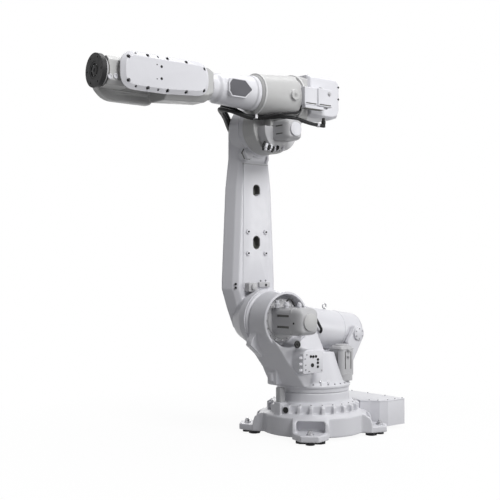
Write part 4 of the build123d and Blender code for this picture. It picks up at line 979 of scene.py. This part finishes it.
# Turret: oil plug, connector plate and the screws along the lip

TURRET_PLUG_PLACE = (250, 119.8, 622)
TURRET_PLUG_LEAN = Vector((0, 435, 64)).normalized()
TURRET_PLUG_CAP = [(25, 0), (25, 5), (23, 7.5), (17, 7.5), (15.5, 4)]
TURRET_PLUG_KEY = [(9, 3), (9, 7), (8, 7.5)]
turret_plug_facing = towards(TURRET_PLUG_PLACE, TURRET_PLUG_LEAN)
add_oil_plug("turret", turret_plug_facing, TURRET_PLUG_CAP, TURRET_PLUG_KEY, sides=40)

PLATE_OUTLINE = [
    (144, 451), (152, 443), (312, 443), (320, 451), (320, 573), (312, 581), (152, 581), (144, 573),
]
PLATE_BACK_Y = 222.3
PLATE_FRONT_Y = 256
PLATE_SOCKETS = ((255, 553), (233, 551), (210, 551), (192, 530), (193, 509), (193, 483))
PLATE_SOCKET = [(9, 255), (9, 259), (8, 260), (6, 260), (5, 256.5)]
PLATE_LARGE_SOCKET = [(13, 255), (13, 259), (12, 260), (9.5, 260), (8, 256.5)]
PLATE_SCREWS = ((290, 566), (300, 500), (300, 470), (270, 458), (160, 458), (305, 540))
PLATE_LARGE_SOCKET_PLACE = at(241, 0, 496, LEFT)
PLATE_SIDE_PLUGS = [((318, 239, z), 11, 26) for z in (545, 505, 465)]
boss_plate = made(plate, LEFT, PLATE_OUTLINE, PLATE_BACK_Y, PLATE_FRONT_Y, corner=3, edge=2.5)
add_piece("connector_plate_block", boss_plate, smooth_paint, node="connector_plate")
sockets = new_shape()
for x, z in PLATE_SOCKETS:
    lathe(sockets, at(x, 0, z, LEFT), PLATE_SOCKET, sides=20)
lathe(sockets, PLATE_LARGE_SOCKET_PLACE, PLATE_LARGE_SOCKET, sides=24)
add_piece("connector_plate_sockets", sockets, black_plastic, "turret")
plate_screws = new_shape()
for x, z in PLATE_SCREWS:
    screw(plate_screws, (x, PLATE_FRONT_Y, z), LEFTWARDS, 5)
add_piece("connector_plate_screws", plate_screws, zinc, "turret")
side_plugs = connectors(PLATE_SIDE_PLUGS, FORWARDS)
add_piece("connector_plate_side_plugs", side_plugs, smooth_paint, "turret")

LIP_RADIUS = 242
LIP_Z = 352
LIP_SCREW_COUNT = 30
LIP_OUTWARDS = 0.5
LIP_UPWARDS = 0.86
LIP_GAP = (-2.9, -2.2)
LUG_SCREW_LEAN = (0.4, 0.7, 0.6)
LUG_SCREWS = ((144, 150, 430), (110, 196, 372), (60, 216, 366))
lip_screws = new_shape()
for x, y in circle(1, LIP_SCREW_COUNT):
    if not LIP_GAP[0] < math.atan2(y, x) < LIP_GAP[1]:
        lean = (LIP_OUTWARDS * x, LIP_OUTWARDS * y, LIP_UPWARDS)
        screw(lip_screws, (LIP_RADIUS * x, LIP_RADIUS * y, LIP_Z), lean, 6)
for place in LUG_SCREWS:
    screw(lip_screws, place, LUG_SCREW_LEAN, 10)
add_piece("turret_lip_screws", lip_screws, zinc, "turret")

# Axis 1 motor, upright beside the shoulder

MOTOR_1_X = -134
MOTOR_1_Y = 142
MOTOR_1 = at(MOTOR_1_X, MOTOR_1_Y, 0)
MOTOR_1_HALF = 65.5
MOTOR_1_DEPTHS = (400, 597)
MOTOR_1_CAP = (46, 590, 605)
MOTOR_1_BAND = (572, 580)
MOTOR_1_SLOTS = (440, 560, 26, 9)
MOTOR_1_FOOT = [(74, 363.3), (74, 409), (70, 413), (60, 413)]
MOTOR_1_PLUGS = (
    ((MOTOR_1_X, 205, 566), 11, 22),
    ((MOTOR_1_X, 205, 524), 9, 18),
)
motor_1 = motor_body(MOTOR_1, MOTOR_1_HALF, *MOTOR_1_DEPTHS, MOTOR_1_SLOTS)
disc(motor_1, MOTOR_1, *MOTOR_1_CAP, edge=3, sides=48)
lathe(motor_1, MOTOR_1, MOTOR_1_FOOT, sides=48)
band = box_outline(0, 0, 2 * MOTOR_1_HALF, 2 * MOTOR_1_HALF)
plate(motor_1, MOTOR_1, band, *MOTOR_1_BAND, corner=22)
add_motor(1, motor_1, MOTOR_1, MOTOR_1_HALF, MOTOR_1_SLOTS)
motor_1_screws = made(screw_circle, MOTOR_1, radius=67, count=8, depth=411, size=5, offset=0.5)
add_piece("axis_1_motor_screws", motor_1_screws, zinc, "turret")
motor_1_plugs = connectors(MOTOR_1_PLUGS, LEFTWARDS)
add_piece("axis_1_motor_plugs", motor_1_plugs, shaded_motor_paint, "turret")

# Balancing cylinder, along its own sloping line

BALANCER_Y = -58
BALANCER_FRONT = Vector((72, BALANCER_Y, 723.9))
BALANCER_REAR = Vector((-428, BALANCER_Y, 652.1))
BALANCER_LINE = (BALANCER_REAR - BALANCER_FRONT).normalized()
BALANCER_LENGTH = (BALANCER_REAR - BALANCER_FRONT).length
CAP_START = BALANCER_LENGTH - 38
BALANCER_TUBE = [
    (120, 0), (140, 0), (145.8, 6), (145.8, 40), (142.5, 44), (142.5, 300), (145.8, 304),
    (145.8, CAP_START - 3), (143, CAP_START), (100, CAP_START),
]
BALANCER_CAP = [(140, 0), (145.5, 1), (143, 8), (132, 24), (117, 36), (112, 38), (60, 38)]
CAP_SCREW_RADIUS = 88
TRUNNION = at(-316, 0, 668.2, LEFT)
TRUNNION_PIN = [(45, -205), (45, 89)]
TRUNNION_DISC_RADIUS = 46
TRUNNION_SCREW_RADIUS = 34
TRUNNION_DISCS = ((124, 136), (-240, -252))
balancer_facing = towards(BALANCER_FRONT, BALANCER_LINE)
cylinder = new_shape()
lathe(cylinder, balancer_facing, BALANCER_TUBE, sides=96)
lathe(cylinder, TRUNNION, TRUNNION_PIN, sides=48)
add_piece("balancer_tube", cylinder, smooth_paint, node="balancer_cylinder")
cap = new_shape()
cap_profile = [(radius, CAP_START + height) for radius, height in BALANCER_CAP]
lathe(cap, balancer_facing, cap_profile, sides=96)
add_piece("balancer_end_cap", cap, smooth_paint, node="balancer_cap")
cap_screws = new_shape()
sideways = Vector(LEFTWARDS)
upwards = BALANCER_LINE.cross(sideways)
for across, above in circle(CAP_SCREW_RADIUS, 8):
    place = BALANCER_REAR + sideways * across + upwards * above - BALANCER_LINE
    screw(cap_screws, place, BALANCER_LINE, 7)
add_piece("balancer_cap_screws", cap_screws, zinc, "turret")
covers = new_shape()
cover_screws = new_shape()
for low, high in TRUNNION_DISCS:
    disc(covers, TRUNNION, TRUNNION_DISC_RADIUS, low, high, edge=2.5, sides=56)
    screw_circle(
        cover_screws,
        TRUNNION,
        TRUNNION_SCREW_RADIUS,
        count=6,
        depth=high,
        size=5,
        offset=0.5,
        outwards=math.copysign(1, high),
    )
add_piece("trunnion_discs", covers, smooth_paint, node="trunnion_covers")
add_piece("trunnion_screws", cover_screws, zinc, "turret")

EYE = at(-165, BALANCER_Y, 857, LEFT)
EYE_FOOT = at(-165, BALANCER_Y, 826)
EYE_NECK = [(12, 0), (12, 6), (8, 10)]
EYE_RADIUS = 16.5
EYE_ROD_RADIUS = 5
BALANCER_HOSE = [
    (132, 82, 742), (132, 104, 760), (122, 124, 800), (96, 122, 806),
    (70, 116, 776), (40, 112, 736), (14, 108, 704), (6, 84, 690),
]
eye = new_shape()
rod = [(EYE_RADIUS + x, y) for x, y in circle(EYE_ROD_RADIUS, 12)]
lathe(eye, EYE, rod, sides=32, hollow=True)
lathe(eye, EYE_FOOT, EYE_NECK, sides=24)
add_piece("balancer_eye_ring", eye, zinc, node="balancer_lifting_eye")
add_cable("balancer_hose", BALANCER_HOSE, 9, "turret")

# Lower arm: casting, window floors and liners in painted shade, boss cones and the discs on its
# far side

ELBOW = at(SHOULDER_X, 0, ELBOW_Z, LEFT)
WINDOW_RADIUS = 31
WINDOW_ENDS = ((1633.5, 1664.5), (1282.5, 1313.5))
WINDOW_FLOOR = (-279, -262)
WINDOW_END_STEPS = 32
WINDOW_LINER = ((0, -270), (0, -223), (4, -223), (4, -270))
add_casting("lower_arm_skin", "lower_arm_casting", cast_paint, voxel=5.0, rounds=6)
windows = new_shape()
window_outlines = []
for low, high in WINDOW_ENDS:
    outline = arc(SHOULDER_X, high, WINDOW_RADIUS, 0, math.pi, WINDOW_END_STEPS)
    outline += arc(SHOULDER_X, low, WINDOW_RADIUS, math.pi, 2 * math.pi, WINDOW_END_STEPS)
    window_outlines.append(outline)
    plate(windows, LEFT, outline, *WINDOW_FLOOR, edge=0.5)
    loft(windows, [raised(LEFT, shrunk(outline, inset), y) for inset, y in WINDOW_LINER], True)
# The window floors and liners are near black: painted shade in the hollows.
add_piece("window_floors", windows, shade_paint, "lower_arm")

BOSS_X = (243, 397)
BOSS_Z = (1225, 1371)
BOSS_SCREW_Y = -206.5
BOSS_CONE = [(16, -219.5), (15, -207.5), (13.5, -206.2), (8, -206.2)]
bosses = new_shape()
boss_screws = new_shape()
for x in BOSS_X:
    for z in BOSS_Z:
        lathe(bosses, at(x, 0, z, LEFT), BOSS_CONE, sides=28)
        screw(boss_screws, (x, BOSS_SCREW_Y, z), LEFTWARDS, 6)
add_piece("clamp_boss_cones", bosses, smooth_paint, node="clamp_bosses")
add_piece("clamp_boss_screws", boss_screws, black_steel, "lower_arm")

FAR_DISCS = ((SHOULDER, 100), (ELBOW, 72))
FAR_DISC_Y = (-345, -355)
FAR_DISC_SCREW_INSET = 14
far_discs = new_shape()
far_disc_screws = new_shape()
for hub, radius in FAR_DISCS:
    disc(far_discs, hub, radius, *FAR_DISC_Y, edge=3, sides=64)
    screw_circle(
        far_disc_screws,
        hub,
        radius - FAR_DISC_SCREW_INSET,
        count=8,
        depth=FAR_DISC_Y[1],
        size=6,
        offset=0.5,
        outwards=-1,
    )
add_piece("arm_far_discs", far_discs, smooth_paint, "lower_arm")
add_piece("arm_far_screws", far_disc_screws, zinc, "lower_arm")

# Lower arm's near side: raised plate, brackets, stop hexagon, hub rings, clamp and hook

ARM_PLATE = [(214, 985), (438, 985), (432, 1828), (216, 1828)]
ARM_PLATE_BACK_Y = -226
ARM_PLATE_FRONT_Y = -216.5
ARM_PLATE_HOLE_Y = (-240, -200)
PLATE_STEP = [(216, 1829), (436, 1829), (435, 1835), (217, 1835)]
PLATE_STEP_Y = -215.4
LARGE_BRACKET = box_outline(384, 994, 76, 62)
LARGE_BRACKET_Y = -172
SMALL_BRACKET = box_outline(262, 1010, 96, 36)
SMALL_BRACKET_Y = -198
BRACKET_KNOB = at(384, 0, 996, LEFT)
BRACKET_PLUG = at(252, 0, 1008, LEFT)
BRACKET_SCREW_Y = -220
BRACKET_SCREWS = ((284, 1036), (240, 1038), (330, 1012))
EDGE_SCREWS = ((488, -233, 992), (488, -233, 1016))
EDGE_SCREW_LEAN = (0.68, 0.73, 0)
face_plate = new_shape()
plate(face_plate, LEFT, ARM_PLATE, ARM_PLATE_BACK_Y, ARM_PLATE_FRONT_Y, corner=14, edge=2)
for outline in window_outlines:
    hole = made(plate, LEFT, outline, *ARM_PLATE_HOLE_Y, edge=0.5)
    face_plate = carved(face_plate, hole)
add_piece("arm_face_plate", face_plate, smooth_paint, "lower_arm")
brackets = new_shape()
plate(brackets, LEFT, LARGE_BRACKET, ARM_PLATE_BACK_Y, LARGE_BRACKET_Y, corner=12, edge=5)
plate(brackets, LEFT, SMALL_BRACKET, ARM_PLATE_BACK_Y, SMALL_BRACKET_Y, corner=8, edge=4)
# The step along the plate's top is a thin strip in the darker paint: a painted shadow line.
plate(brackets, LEFT, PLATE_STEP, ARM_PLATE_BACK_Y, PLATE_STEP_Y, edge=0.5)
disc(brackets, BRACKET_KNOB, 20, LARGE_BRACKET_Y - 2, LARGE_BRACKET_Y + 14, edge=3, sides=32)
add_piece("arm_brackets", brackets, shaded_motor_paint, "lower_arm")
bracket_screws = new_shape()
disc(bracket_screws, BRACKET_PLUG, 9, SMALL_BRACKET_Y - 2, SMALL_BRACKET_Y + 4, edge=1, sides=24)
for x, z in BRACKET_SCREWS:
    screw(bracket_screws, (x, BRACKET_SCREW_Y, z), LEFTWARDS, 6)
for place in EDGE_SCREWS:
    screw(bracket_screws, place, EDGE_SCREW_LEAN, 8)
add_piece("arm_bracket_screws", bracket_screws, black_steel, "lower_arm")

STOP = at(418, 0, 1899, LEFT)
STOP_HEXAGON = [(43, -204), (43, -176), (38, -169), (24, -169)]
STOP_SEAM = [(47, -204), (47, -195), (42, -195), (42, -204)]
HUB_SEAM = [(168, -176), (168, -159), (150, -159), (150, -176)]
SHOULDER_RING = [(196, -96), (204, -98), (204, -112), (196, -116), (190, -116), (190, -96)]
ELBOW_RING = [(174, -186), (183, -188), (183, -200), (174, -204), (168, -204), (168, -186)]
hexagon = made(lathe, STOP, STOP_HEXAGON, sides=HEXAGON)
add_piece("arm_stop_hexagon", hexagon, smooth_paint, "lower_arm")
# Seam rings in near-black paint: painted shade in the gaps.
arm_seams = new_shape()
lathe(arm_seams, STOP, STOP_SEAM, sides=HEXAGON, hollow=True)
lathe(arm_seams, ELBOW, HUB_SEAM, sides=96, hollow=True)
add_piece("arm_seams", arm_seams, shade_paint, "lower_arm")
hub_rings = new_shape()
lathe(hub_rings, SHOULDER, SHOULDER_RING, sides=96, hollow=True)
lathe(hub_rings, ELBOW, ELBOW_RING, sides=96, hollow=True)
add_piece("arm_hub_rings", hub_rings, smooth_paint, "lower_arm")

FAR_CLAMP = box_outline(350, 1920, 90, 50)
FAR_CLAMP_Y = (-350.2, -394)
HOOK_Y = (-221, -205)
HOOK_OUTLINE = [
    (222, 1905), (240, 1905), (238, 1868), (252, 1852), (246, 1842), (228, 1850), (220, 1866),
]
clamp = made(plate, LEFT, FAR_CLAMP, *FAR_CLAMP_Y, corner=5, edge=2)
add_piece("far_clamp_block", clamp, zinc, node="far_clamp")
hook = made(plate, LEFT, HOOK_OUTLINE, *HOOK_Y, corner=4, edge=1.5)
add_piece("arm_hook", hook, smooth_paint, "lower_arm")

# Upper arm: housing with its rings and pad, axis 3 gear and motor, and rear cover

FOREARM_LINE = at(0, 0, FOREARM_Z, FRONT)
FRONT_RING = [(126, 512), (134, 514), (134, 526), (128, 529), (118, 529), (118, 512)]
REAR_RING = [(156, 205), (161.5, 207), (161.5, 219), (156, 222), (150, 222), (150, 205)]
HOUSING_PAD_PLACE = at(296, 0, FOREARM_Z, LEFT)
HOUSING_PAD = (33, 140, 161)
add_casting("upper_arm_skin", "upper_arm_housing", shaded_housing_paint, voxel=4.5, rounds=5)
housing_rings = new_shape()
lathe(housing_rings, FOREARM_LINE, FRONT_RING, sides=96, hollow=True)
lathe(housing_rings, FOREARM_LINE, REAR_RING, sides=96, hollow=True)
add_piece("housing_rings", housing_rings, shaded_housing_paint, "upper_arm")
pad = made(disc, HOUSING_PAD_PLACE, *HOUSING_PAD, edge=1, sides=56)
add_piece("housing_pad", pad, shaded_housing_paint, "upper_arm")

GEAR_3_Z = 2040
GEAR_3_RADIUS = 139.5
GEAR_3_DEPTHS = (-36, 39.6)
GEAR_3_OUTLINE = arc(SHOULDER_X, GEAR_3_Z, GEAR_3_RADIUS, math.pi, 2 * math.pi, steps=36)
GEAR_3_OUTLINE += [(459, 2058), (181, 2058)]
MOTOR_3 = at(SHOULDER_X, 0, 2030, LEFT)
MOTOR_3_HALF = 68.5
MOTOR_3_DEPTHS = (40, 181)
MOTOR_3_CAP = (46, 174, 193)
MOTOR_3_SLOTS = (62, 132, 26, 9)
gear_3 = made(plate, LEFT, GEAR_3_OUTLINE, *GEAR_3_DEPTHS, edge=4)
add_piece("axis_3_gear_body", gear_3, shaded_motor_paint, node="axis_3_gear_unit")
motor_3 = motor_body(MOTOR_3, MOTOR_3_HALF, *MOTOR_3_DEPTHS, MOTOR_3_SLOTS)
add_motor(3, motor_3, MOTOR_3, MOTOR_3_HALF, MOTOR_3_SLOTS)
motor_3_cap = made(disc, MOTOR_3, *MOTOR_3_CAP, edge=4, sides=64)
add_piece("axis_3_motor_cap", motor_3_cap, smooth_paint, "upper_arm")

REAR_SCREWS = ((-157, 89, 2372), (-157, 89, 2289), (60, 66, 2410), (-60, 66, 2410))
add_casting("rear_cover_skin", "rear_cover", cast_paint, voxel=4.5, rounds=8)
rear_screws = new_shape()
for x, y, z in REAR_SCREWS:
    for side in (-1, 1):
        screw(rear_screws, (x, side * y, z), (0, side, 0), 7)
add_piece("rear_cover_screws", rear_screws, black_steel, "upper_arm")

# Axis 4 motor: two lengths with a groove each, a bar with its clips, dark lines of painted shade
# and plugs

MOTOR_4_LOW_Z = 2202
MOTOR_4_HIGH_Z = 2322
MOTOR_4_REAR_X = -5
MOTOR_4_JOINT_X = 119
MOTOR_4_FRONT_X = 233
MOTOR_4_REAR_Y = (93, 187)
MOTOR_4_FRONT_Y = (84, 178)
BAR = box_outline(160, 2192, 36, 20)
BAR_X = (62, 228)
CLIP = box_outline(160, 2200, 20, 14)
GROOVE_Z = MOTOR_4_LOW_Z + 12
CLIP_X = (14, 40, 150, 205)
CLIP_LENGTH = 10
MOTOR_4_LINES = (
    (box_outline(179, GROOVE_Z, 6, 10), 4, 108),
    (box_outline(170, GROOVE_Z, 6, 10), 126, 222),
    (box_outline(158, 2181, 32, 5), 66, 224),
)


def motor_4_block(near, far, low, high):
    """One length of the axis 4 motor, with a groove along its outer side."""
    middle_z = (MOTOR_4_LOW_Z + MOTOR_4_HIGH_Z) / 2
    outline = box_outline((near + far) / 2, middle_z, far - near, MOTOR_4_HIGH_Z - MOTOR_4_LOW_Z)
    block = made(plate, FRONT, outline, low, high, corner=8, edge=3)
    groove = made(plate, FRONT, box_outline(far, GROOVE_Z, 16, 8), low + 8, high - 10, edge=0.5)
    return carved(block, groove)


motor_4_rear = motor_4_block(*MOTOR_4_REAR_Y, MOTOR_4_REAR_X, MOTOR_4_JOINT_X)
add_piece("axis_4_motor_rear", motor_4_rear, smooth_paint, node="axis_4_motor")
motor_4_front = motor_4_block(*MOTOR_4_FRONT_Y, MOTOR_4_JOINT_X, MOTOR_4_FRONT_X)
add_piece("axis_4_motor_front", motor_4_front, smooth_paint, "upper_arm")
bar = new_shape()
plate(bar, FRONT, BAR, *BAR_X, corner=2, edge=2)
for x in CLIP_X:
    plate(bar, FRONT, CLIP, x, x + CLIP_LENGTH)
add_piece("axis_4_motor_bar", bar, smooth_paint, "upper_arm")
# Near-black lines: painted shade in the grooves and a painted shadow under the bar.
motor_4_lines = new_shape()
for outline, low, high in MOTOR_4_LINES:
    plate(motor_4_lines, FRONT, outline, low, high, edge=0.5)
add_piece("axis_4_motor_lines", motor_4_lines, shade_paint, "upper_arm")
motor_4_plugs = new_shape()
connector(motor_4_plugs, (64, 150, 2318), UPWARDS, 13, 18)
connector(motor_4_plugs, (20, 178, 2291), LEFTWARDS, 12, 20)
add_piece("axis_4_motor_plugs", motor_4_plugs, shaded_motor_paint, "upper_arm")

# Clamp, connectors and cables at the elbow

CLAMP = box_outline(-12, 2115, 64, 34)
CLAMP_X = (504.2, 523.8)
PLUG_BLOCKS = (
    (box_outline(352, 1916, 60, 34), 0, 38),
    (box_outline(424, 1914, 44, 30), -6, 28),
)
WHITE_PLUGS = (
    ((338, 30, 1934), 12, 36),
    ((366, 34, 1930), 12, 34),
    ((402, 30, 1932), 15, 40),
    ((432, 24, 1938), 13, 44),
    ((300, 34, 1932), 12, 30),
)
BLACK_PLUGS = (
    ((352, 44, 1926), 11, 26),
    ((386, 38, 1920), 10, 40),
    ((418, 36, 1926), 12, 30),
    ((448, 24, 1950), 9, 40),
)
housing_clamp = made(plate, FRONT, CLAMP, *CLAMP_X, corner=6, edge=2)
add_piece("housing_clamp_block", housing_clamp, zinc, node="housing_clamp")
white_plugs = connectors(WHITE_PLUGS, (0.3, 0.1, -1))
add_piece("elbow_plugs", white_plugs, smooth_paint, "upper_arm")
black_plugs = connectors(BLACK_PLUGS, (0.5, 0.2, -0.8))
add_piece("elbow_black_plugs", black_plugs, black_plastic, "upper_arm")
plug_blocks = new_shape()
for outline, low, high in PLUG_BLOCKS:
    plate(plug_blocks, LEFT, outline, low, high, corner=4, edge=2)
add_piece("elbow_plug_blocks", plug_blocks, black_plastic, "upper_arm")

CABLE_RADIUS = 12.5
THIN_CABLE_RADIUS = 8
ELBOW_CABLES = [
    [
        (524.3, -26, 2112), (538.3, -26, 2112), (576, -38, 2126), (620, -72, 2160),
        (660, -122, 2186), (652, -186, 2194), (536, -274, 2168), (424, -368, 2118),
        (366, -388, 2060), (338, -380, 2000), (336, -376, 1959.3), (336, -376, 1945.3),
    ],
    [
        (524.3, 2, 2112), (538.3, 2, 2112), (580, -4, 2114), (628, -34, 2128),
        (670, -84, 2150), (672, -160, 2164), (540, -274, 2134), (440, -368, 2078),
        (380, -388, 2022), (370, -380, 1982), (364, -376, 1959.3), (364, -376, 1945.3),
    ],
    [
        (524.3, -12, 2104), (538.3, -12, 2104), (580, -22, 2112), (636, -56, 2136),
        (684, -108, 2160), (680, -180, 2172), (552, -280, 2146), (452, -368, 2092),
        (400, -386, 2036), (384, -384, 1990), (378, -376, 1959.3), (378, -376, 1945.3),
    ],
]
for number, route in enumerate(ELBOW_CABLES):
    piece = cable_piece(f"elbow_cable_{number}", route, CABLE_RADIUS)
    if number == 0:
        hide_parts("elbow_cables")
    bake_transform(piece)

HOUSING_ROUTE = [
    (503.7, -26, 2112), (496.7, -26, 2112), (452, 14, 2110), (398, 66, 2116), (330, 86, 2119),
    (240, 104, 2117), (140, 112, 2094), (40, 112, 2088), (0, 112, 2088),
]
MOTOR_4_ROUTE = [
    (503.7, 2, 2112), (496.7, 2, 2112), (454, 56, 2116), (400, 100, 2132), (310, 124, 2144),
    (240, 124, 2150), (210, 124, 2187.7), (210, 124, 2201.7),
]
add_cable("housing_cable", HOUSING_ROUTE, CABLE_RADIUS, "upper_arm", "upper_arm_cables")
add_cable("motor_4_cable", MOTOR_4_ROUTE, THIN_CABLE_RADIUS, "upper_arm")
cable_plug = made(connector, (64, 112, 2090), BACKWARDS, 14, 26)
add_piece("housing_cable_plug", cable_plug, smooth_paint, "upper_arm")
cable_elbow = made(connector, (2, 112, 2080), UPWARDS, 13, 62)
add_piece("housing_cable_elbow", cable_elbow, black_plastic, "upper_arm")

# Forearm: tube and its side panel

PANEL = [
    (622, 2260), (680, 2311), (781, 2311), (801, 2285.5), (801, 2234.5), (781, 2209), (680, 2209),
]
PANEL_BACK_Y = 106
PANEL_FRONT_Y = 110
PANEL_RIM_Y = 103
PANEL_RIM_WIDTH = 7
PANEL_GAP = 0.5
add_casting("forearm_skin", "forearm_tube", cast_paint, voxel=4.0, rounds=4)
panel = made(plate, LEFT, PANEL, PANEL_BACK_Y, PANEL_FRONT_Y, corner=8, edge=1.5)
add_piece("side_panel_plate", panel, panel_grey, node="side_panel")
outer = rounded(shrunk(PANEL, -PANEL_RIM_WIDTH), 12)
inner = rounded(shrunk(PANEL, -PANEL_GAP), 8)
rim_rings = (
    (outer, PANEL_RIM_Y),
    (outer, PANEL_FRONT_Y - 1),
    (inner, PANEL_FRONT_Y),
    (inner, PANEL_RIM_Y),
)
rim = new_shape()
loft(rim, [raised(LEFT, flat, y) for flat, y in rim_rings], hollow=True)
add_piece("side_panel_rim", rim, smooth_paint, "forearm")

# Wrist housing, its near cover with screws in pockets, and its far cover

COVER_RIM = [(965, 2178), (1290, 2156), (1592, 2156), (1592, 2380), (965, 2380)]
COVER_LEVELS = [
    (18, 98), (0, 101.5), (0, 104), (0.8, 105.4), (2.4, 106), (26, 123), (27.6, 123.8), (30, 124),
]
COVER_CORNER = 95
POCKET_FLOOR_Y = 108
POCKET_TOP_Y = 130
POCKET_SHARE = 1.6
LARGE_SCREWS = (
    (1546, 2341), (1413, 2367), (1275, 2367), (1140, 2364), (1007, 2340),
    (1546, 2204), (1413, 2174), (1275, 2175), (1140, 2182), (1007, 2206),
)
SMALL_SCREWS = ((1495, 2368), (1342, 2367), (1495, 2175), (1341, 2173))
FACE_HOLE_SHADE_Y = (120, 124.8)
FACE_HOLE_SHADES = ((1322, 2311, 8.5), (1322, 2240, 8.5), (1354, 2319, 4), (1353, 2235, 4))
FAR_COVER = [(96, -164), (96, -171), (93, -174), (60, -174)]
FAR_COVER_Y = -174
add_casting("wrist_skin", "wrist_housing", shaded_housing_paint, voxel=4.0, rounds=12)
cover = new_shape()
stepped(cover, LEFT, COVER_RIM, COVER_LEVELS, COVER_CORNER)
pockets = new_shape()
rim_screws = new_shape()
for places, radius in ((LARGE_SCREWS, 7.5), (SMALL_SCREWS, 4.5)):
    pocket = [(POCKET_SHARE * radius, POCKET_FLOOR_Y), (POCKET_SHARE * radius, POCKET_TOP_Y)]
    for x, z in places:
        lathe(pockets, at(x, 0, z, LEFT), pocket, sides=24)
        screw(rim_screws, (x, POCKET_FLOOR_Y, z), LEFTWARDS, radius)
add_piece("wrist_cover_plate", carved(cover, pockets), smooth_paint, node="wrist_cover")
add_piece("wrist_cover_screws", rim_screws, black_steel, "forearm")
# Black discs on the cover's face stand for its holes: painted shade.
face_hole_shades = new_shape()
for x, z, radius in FACE_HOLE_SHADES:
    disc(face_hole_shades, at(x, 0, z, LEFT), radius, *FACE_HOLE_SHADE_Y, edge=0.5, sides=28)
add_piece("wrist_face_hole_shades", face_hole_shades, black_plastic, "forearm")
WRIST = at(WRIST_X, 0, FOREARM_Z, LEFT)
far_cover = new_shape()
far_screws = new_shape()
lathe(far_cover, WRIST, FAR_COVER, sides=64)
screw_circle(far_screws, WRIST, radius=84, count=8, depth=FAR_COVER_Y, size=5, outwards=-1)
add_piece("wrist_far_disc", far_cover, smooth_paint, node="wrist_far_cover")
add_piece("wrist_far_screws", far_screws, black_steel, "forearm")

# Tilt housing and tool flange

TILT_RING = [(75, 1653), (84, 1654), (86, 1658), (86, 1668), (83, 1671), (70, 1671), (70, 1653)]
TILT_REAR_SEAM = [(87, 1649), (87, 1653), (70, 1653), (70, 1649)]
TILT_FRONT_SEAM = [(84, 1667), (84, 1672), (60, 1672), (60, 1667)]
TILT_PLUG = [(16, 75.5), (16, 79), (14.5, 81), (9, 81), (8, 78)]
TILT_PLUGS = ((1604.5, 2226), (1642.5, 2220))
FLANGE_RING = [(49.5, 1696), (49.5, 1700.5), (46, 1701.5), (40, 1701.5), (38, 1696)]
FLANGE_CORE = [(30, 1695), (30, 1699), (27, 1700), (12, 1700), (10, 1696)]
add_casting("tilt_skin", "tilt_housing", shaded_housing_paint, voxel=3.5, rounds=4)
tilt_ring = made(lathe, FOREARM_LINE, TILT_RING, sides=72, hollow=True)
add_piece("tilt_front_ring", tilt_ring, shaded_motor_paint, "tilt")
# Seam rings in near-black paint: painted shade in the gaps beside the front ring.
tilt_seams = new_shape()
lathe(tilt_seams, FOREARM_LINE, TILT_REAR_SEAM, sides=72, hollow=True)
lathe(tilt_seams, FOREARM_LINE, TILT_FRONT_SEAM, sides=72, hollow=True)
add_piece("tilt_seams", tilt_seams, shade_paint, "tilt")
tilt_screws = new_shape()
screw_circle(
    tilt_screws, FOREARM_LINE, radius=80, count=12, depth=1649, size=4, offset=0.5, outwards=-1
)
add_piece("tilt_ring_screws", tilt_screws, black_steel, "tilt")
tilt_plugs = new_shape()
for x, z in TILT_PLUGS:
    lathe(tilt_plugs, at(x, 0, z, LEFT), TILT_PLUG, sides=32)
add_piece("tilt_plug_caps", tilt_plugs, smooth_paint, node="tilt_plugs")
flange_rings = new_shape()
lathe(flange_rings, FOREARM_LINE, FLANGE_RING, sides=64, hollow=True)
lathe(flange_rings, FOREARM_LINE, FLANGE_CORE, sides=48)
add_piece("flange_inner_rings", flange_rings, black_steel, "tool_plate")
flange_screws = made(screw_circle, FOREARM_LINE, radius=35, count=6, depth=1694.8, size=3.2)
add_piece("flange_inner_screws", flange_screws, zinc, "tool_plate")

bpy.context.scene.view_settings.view_transform = "Standard"
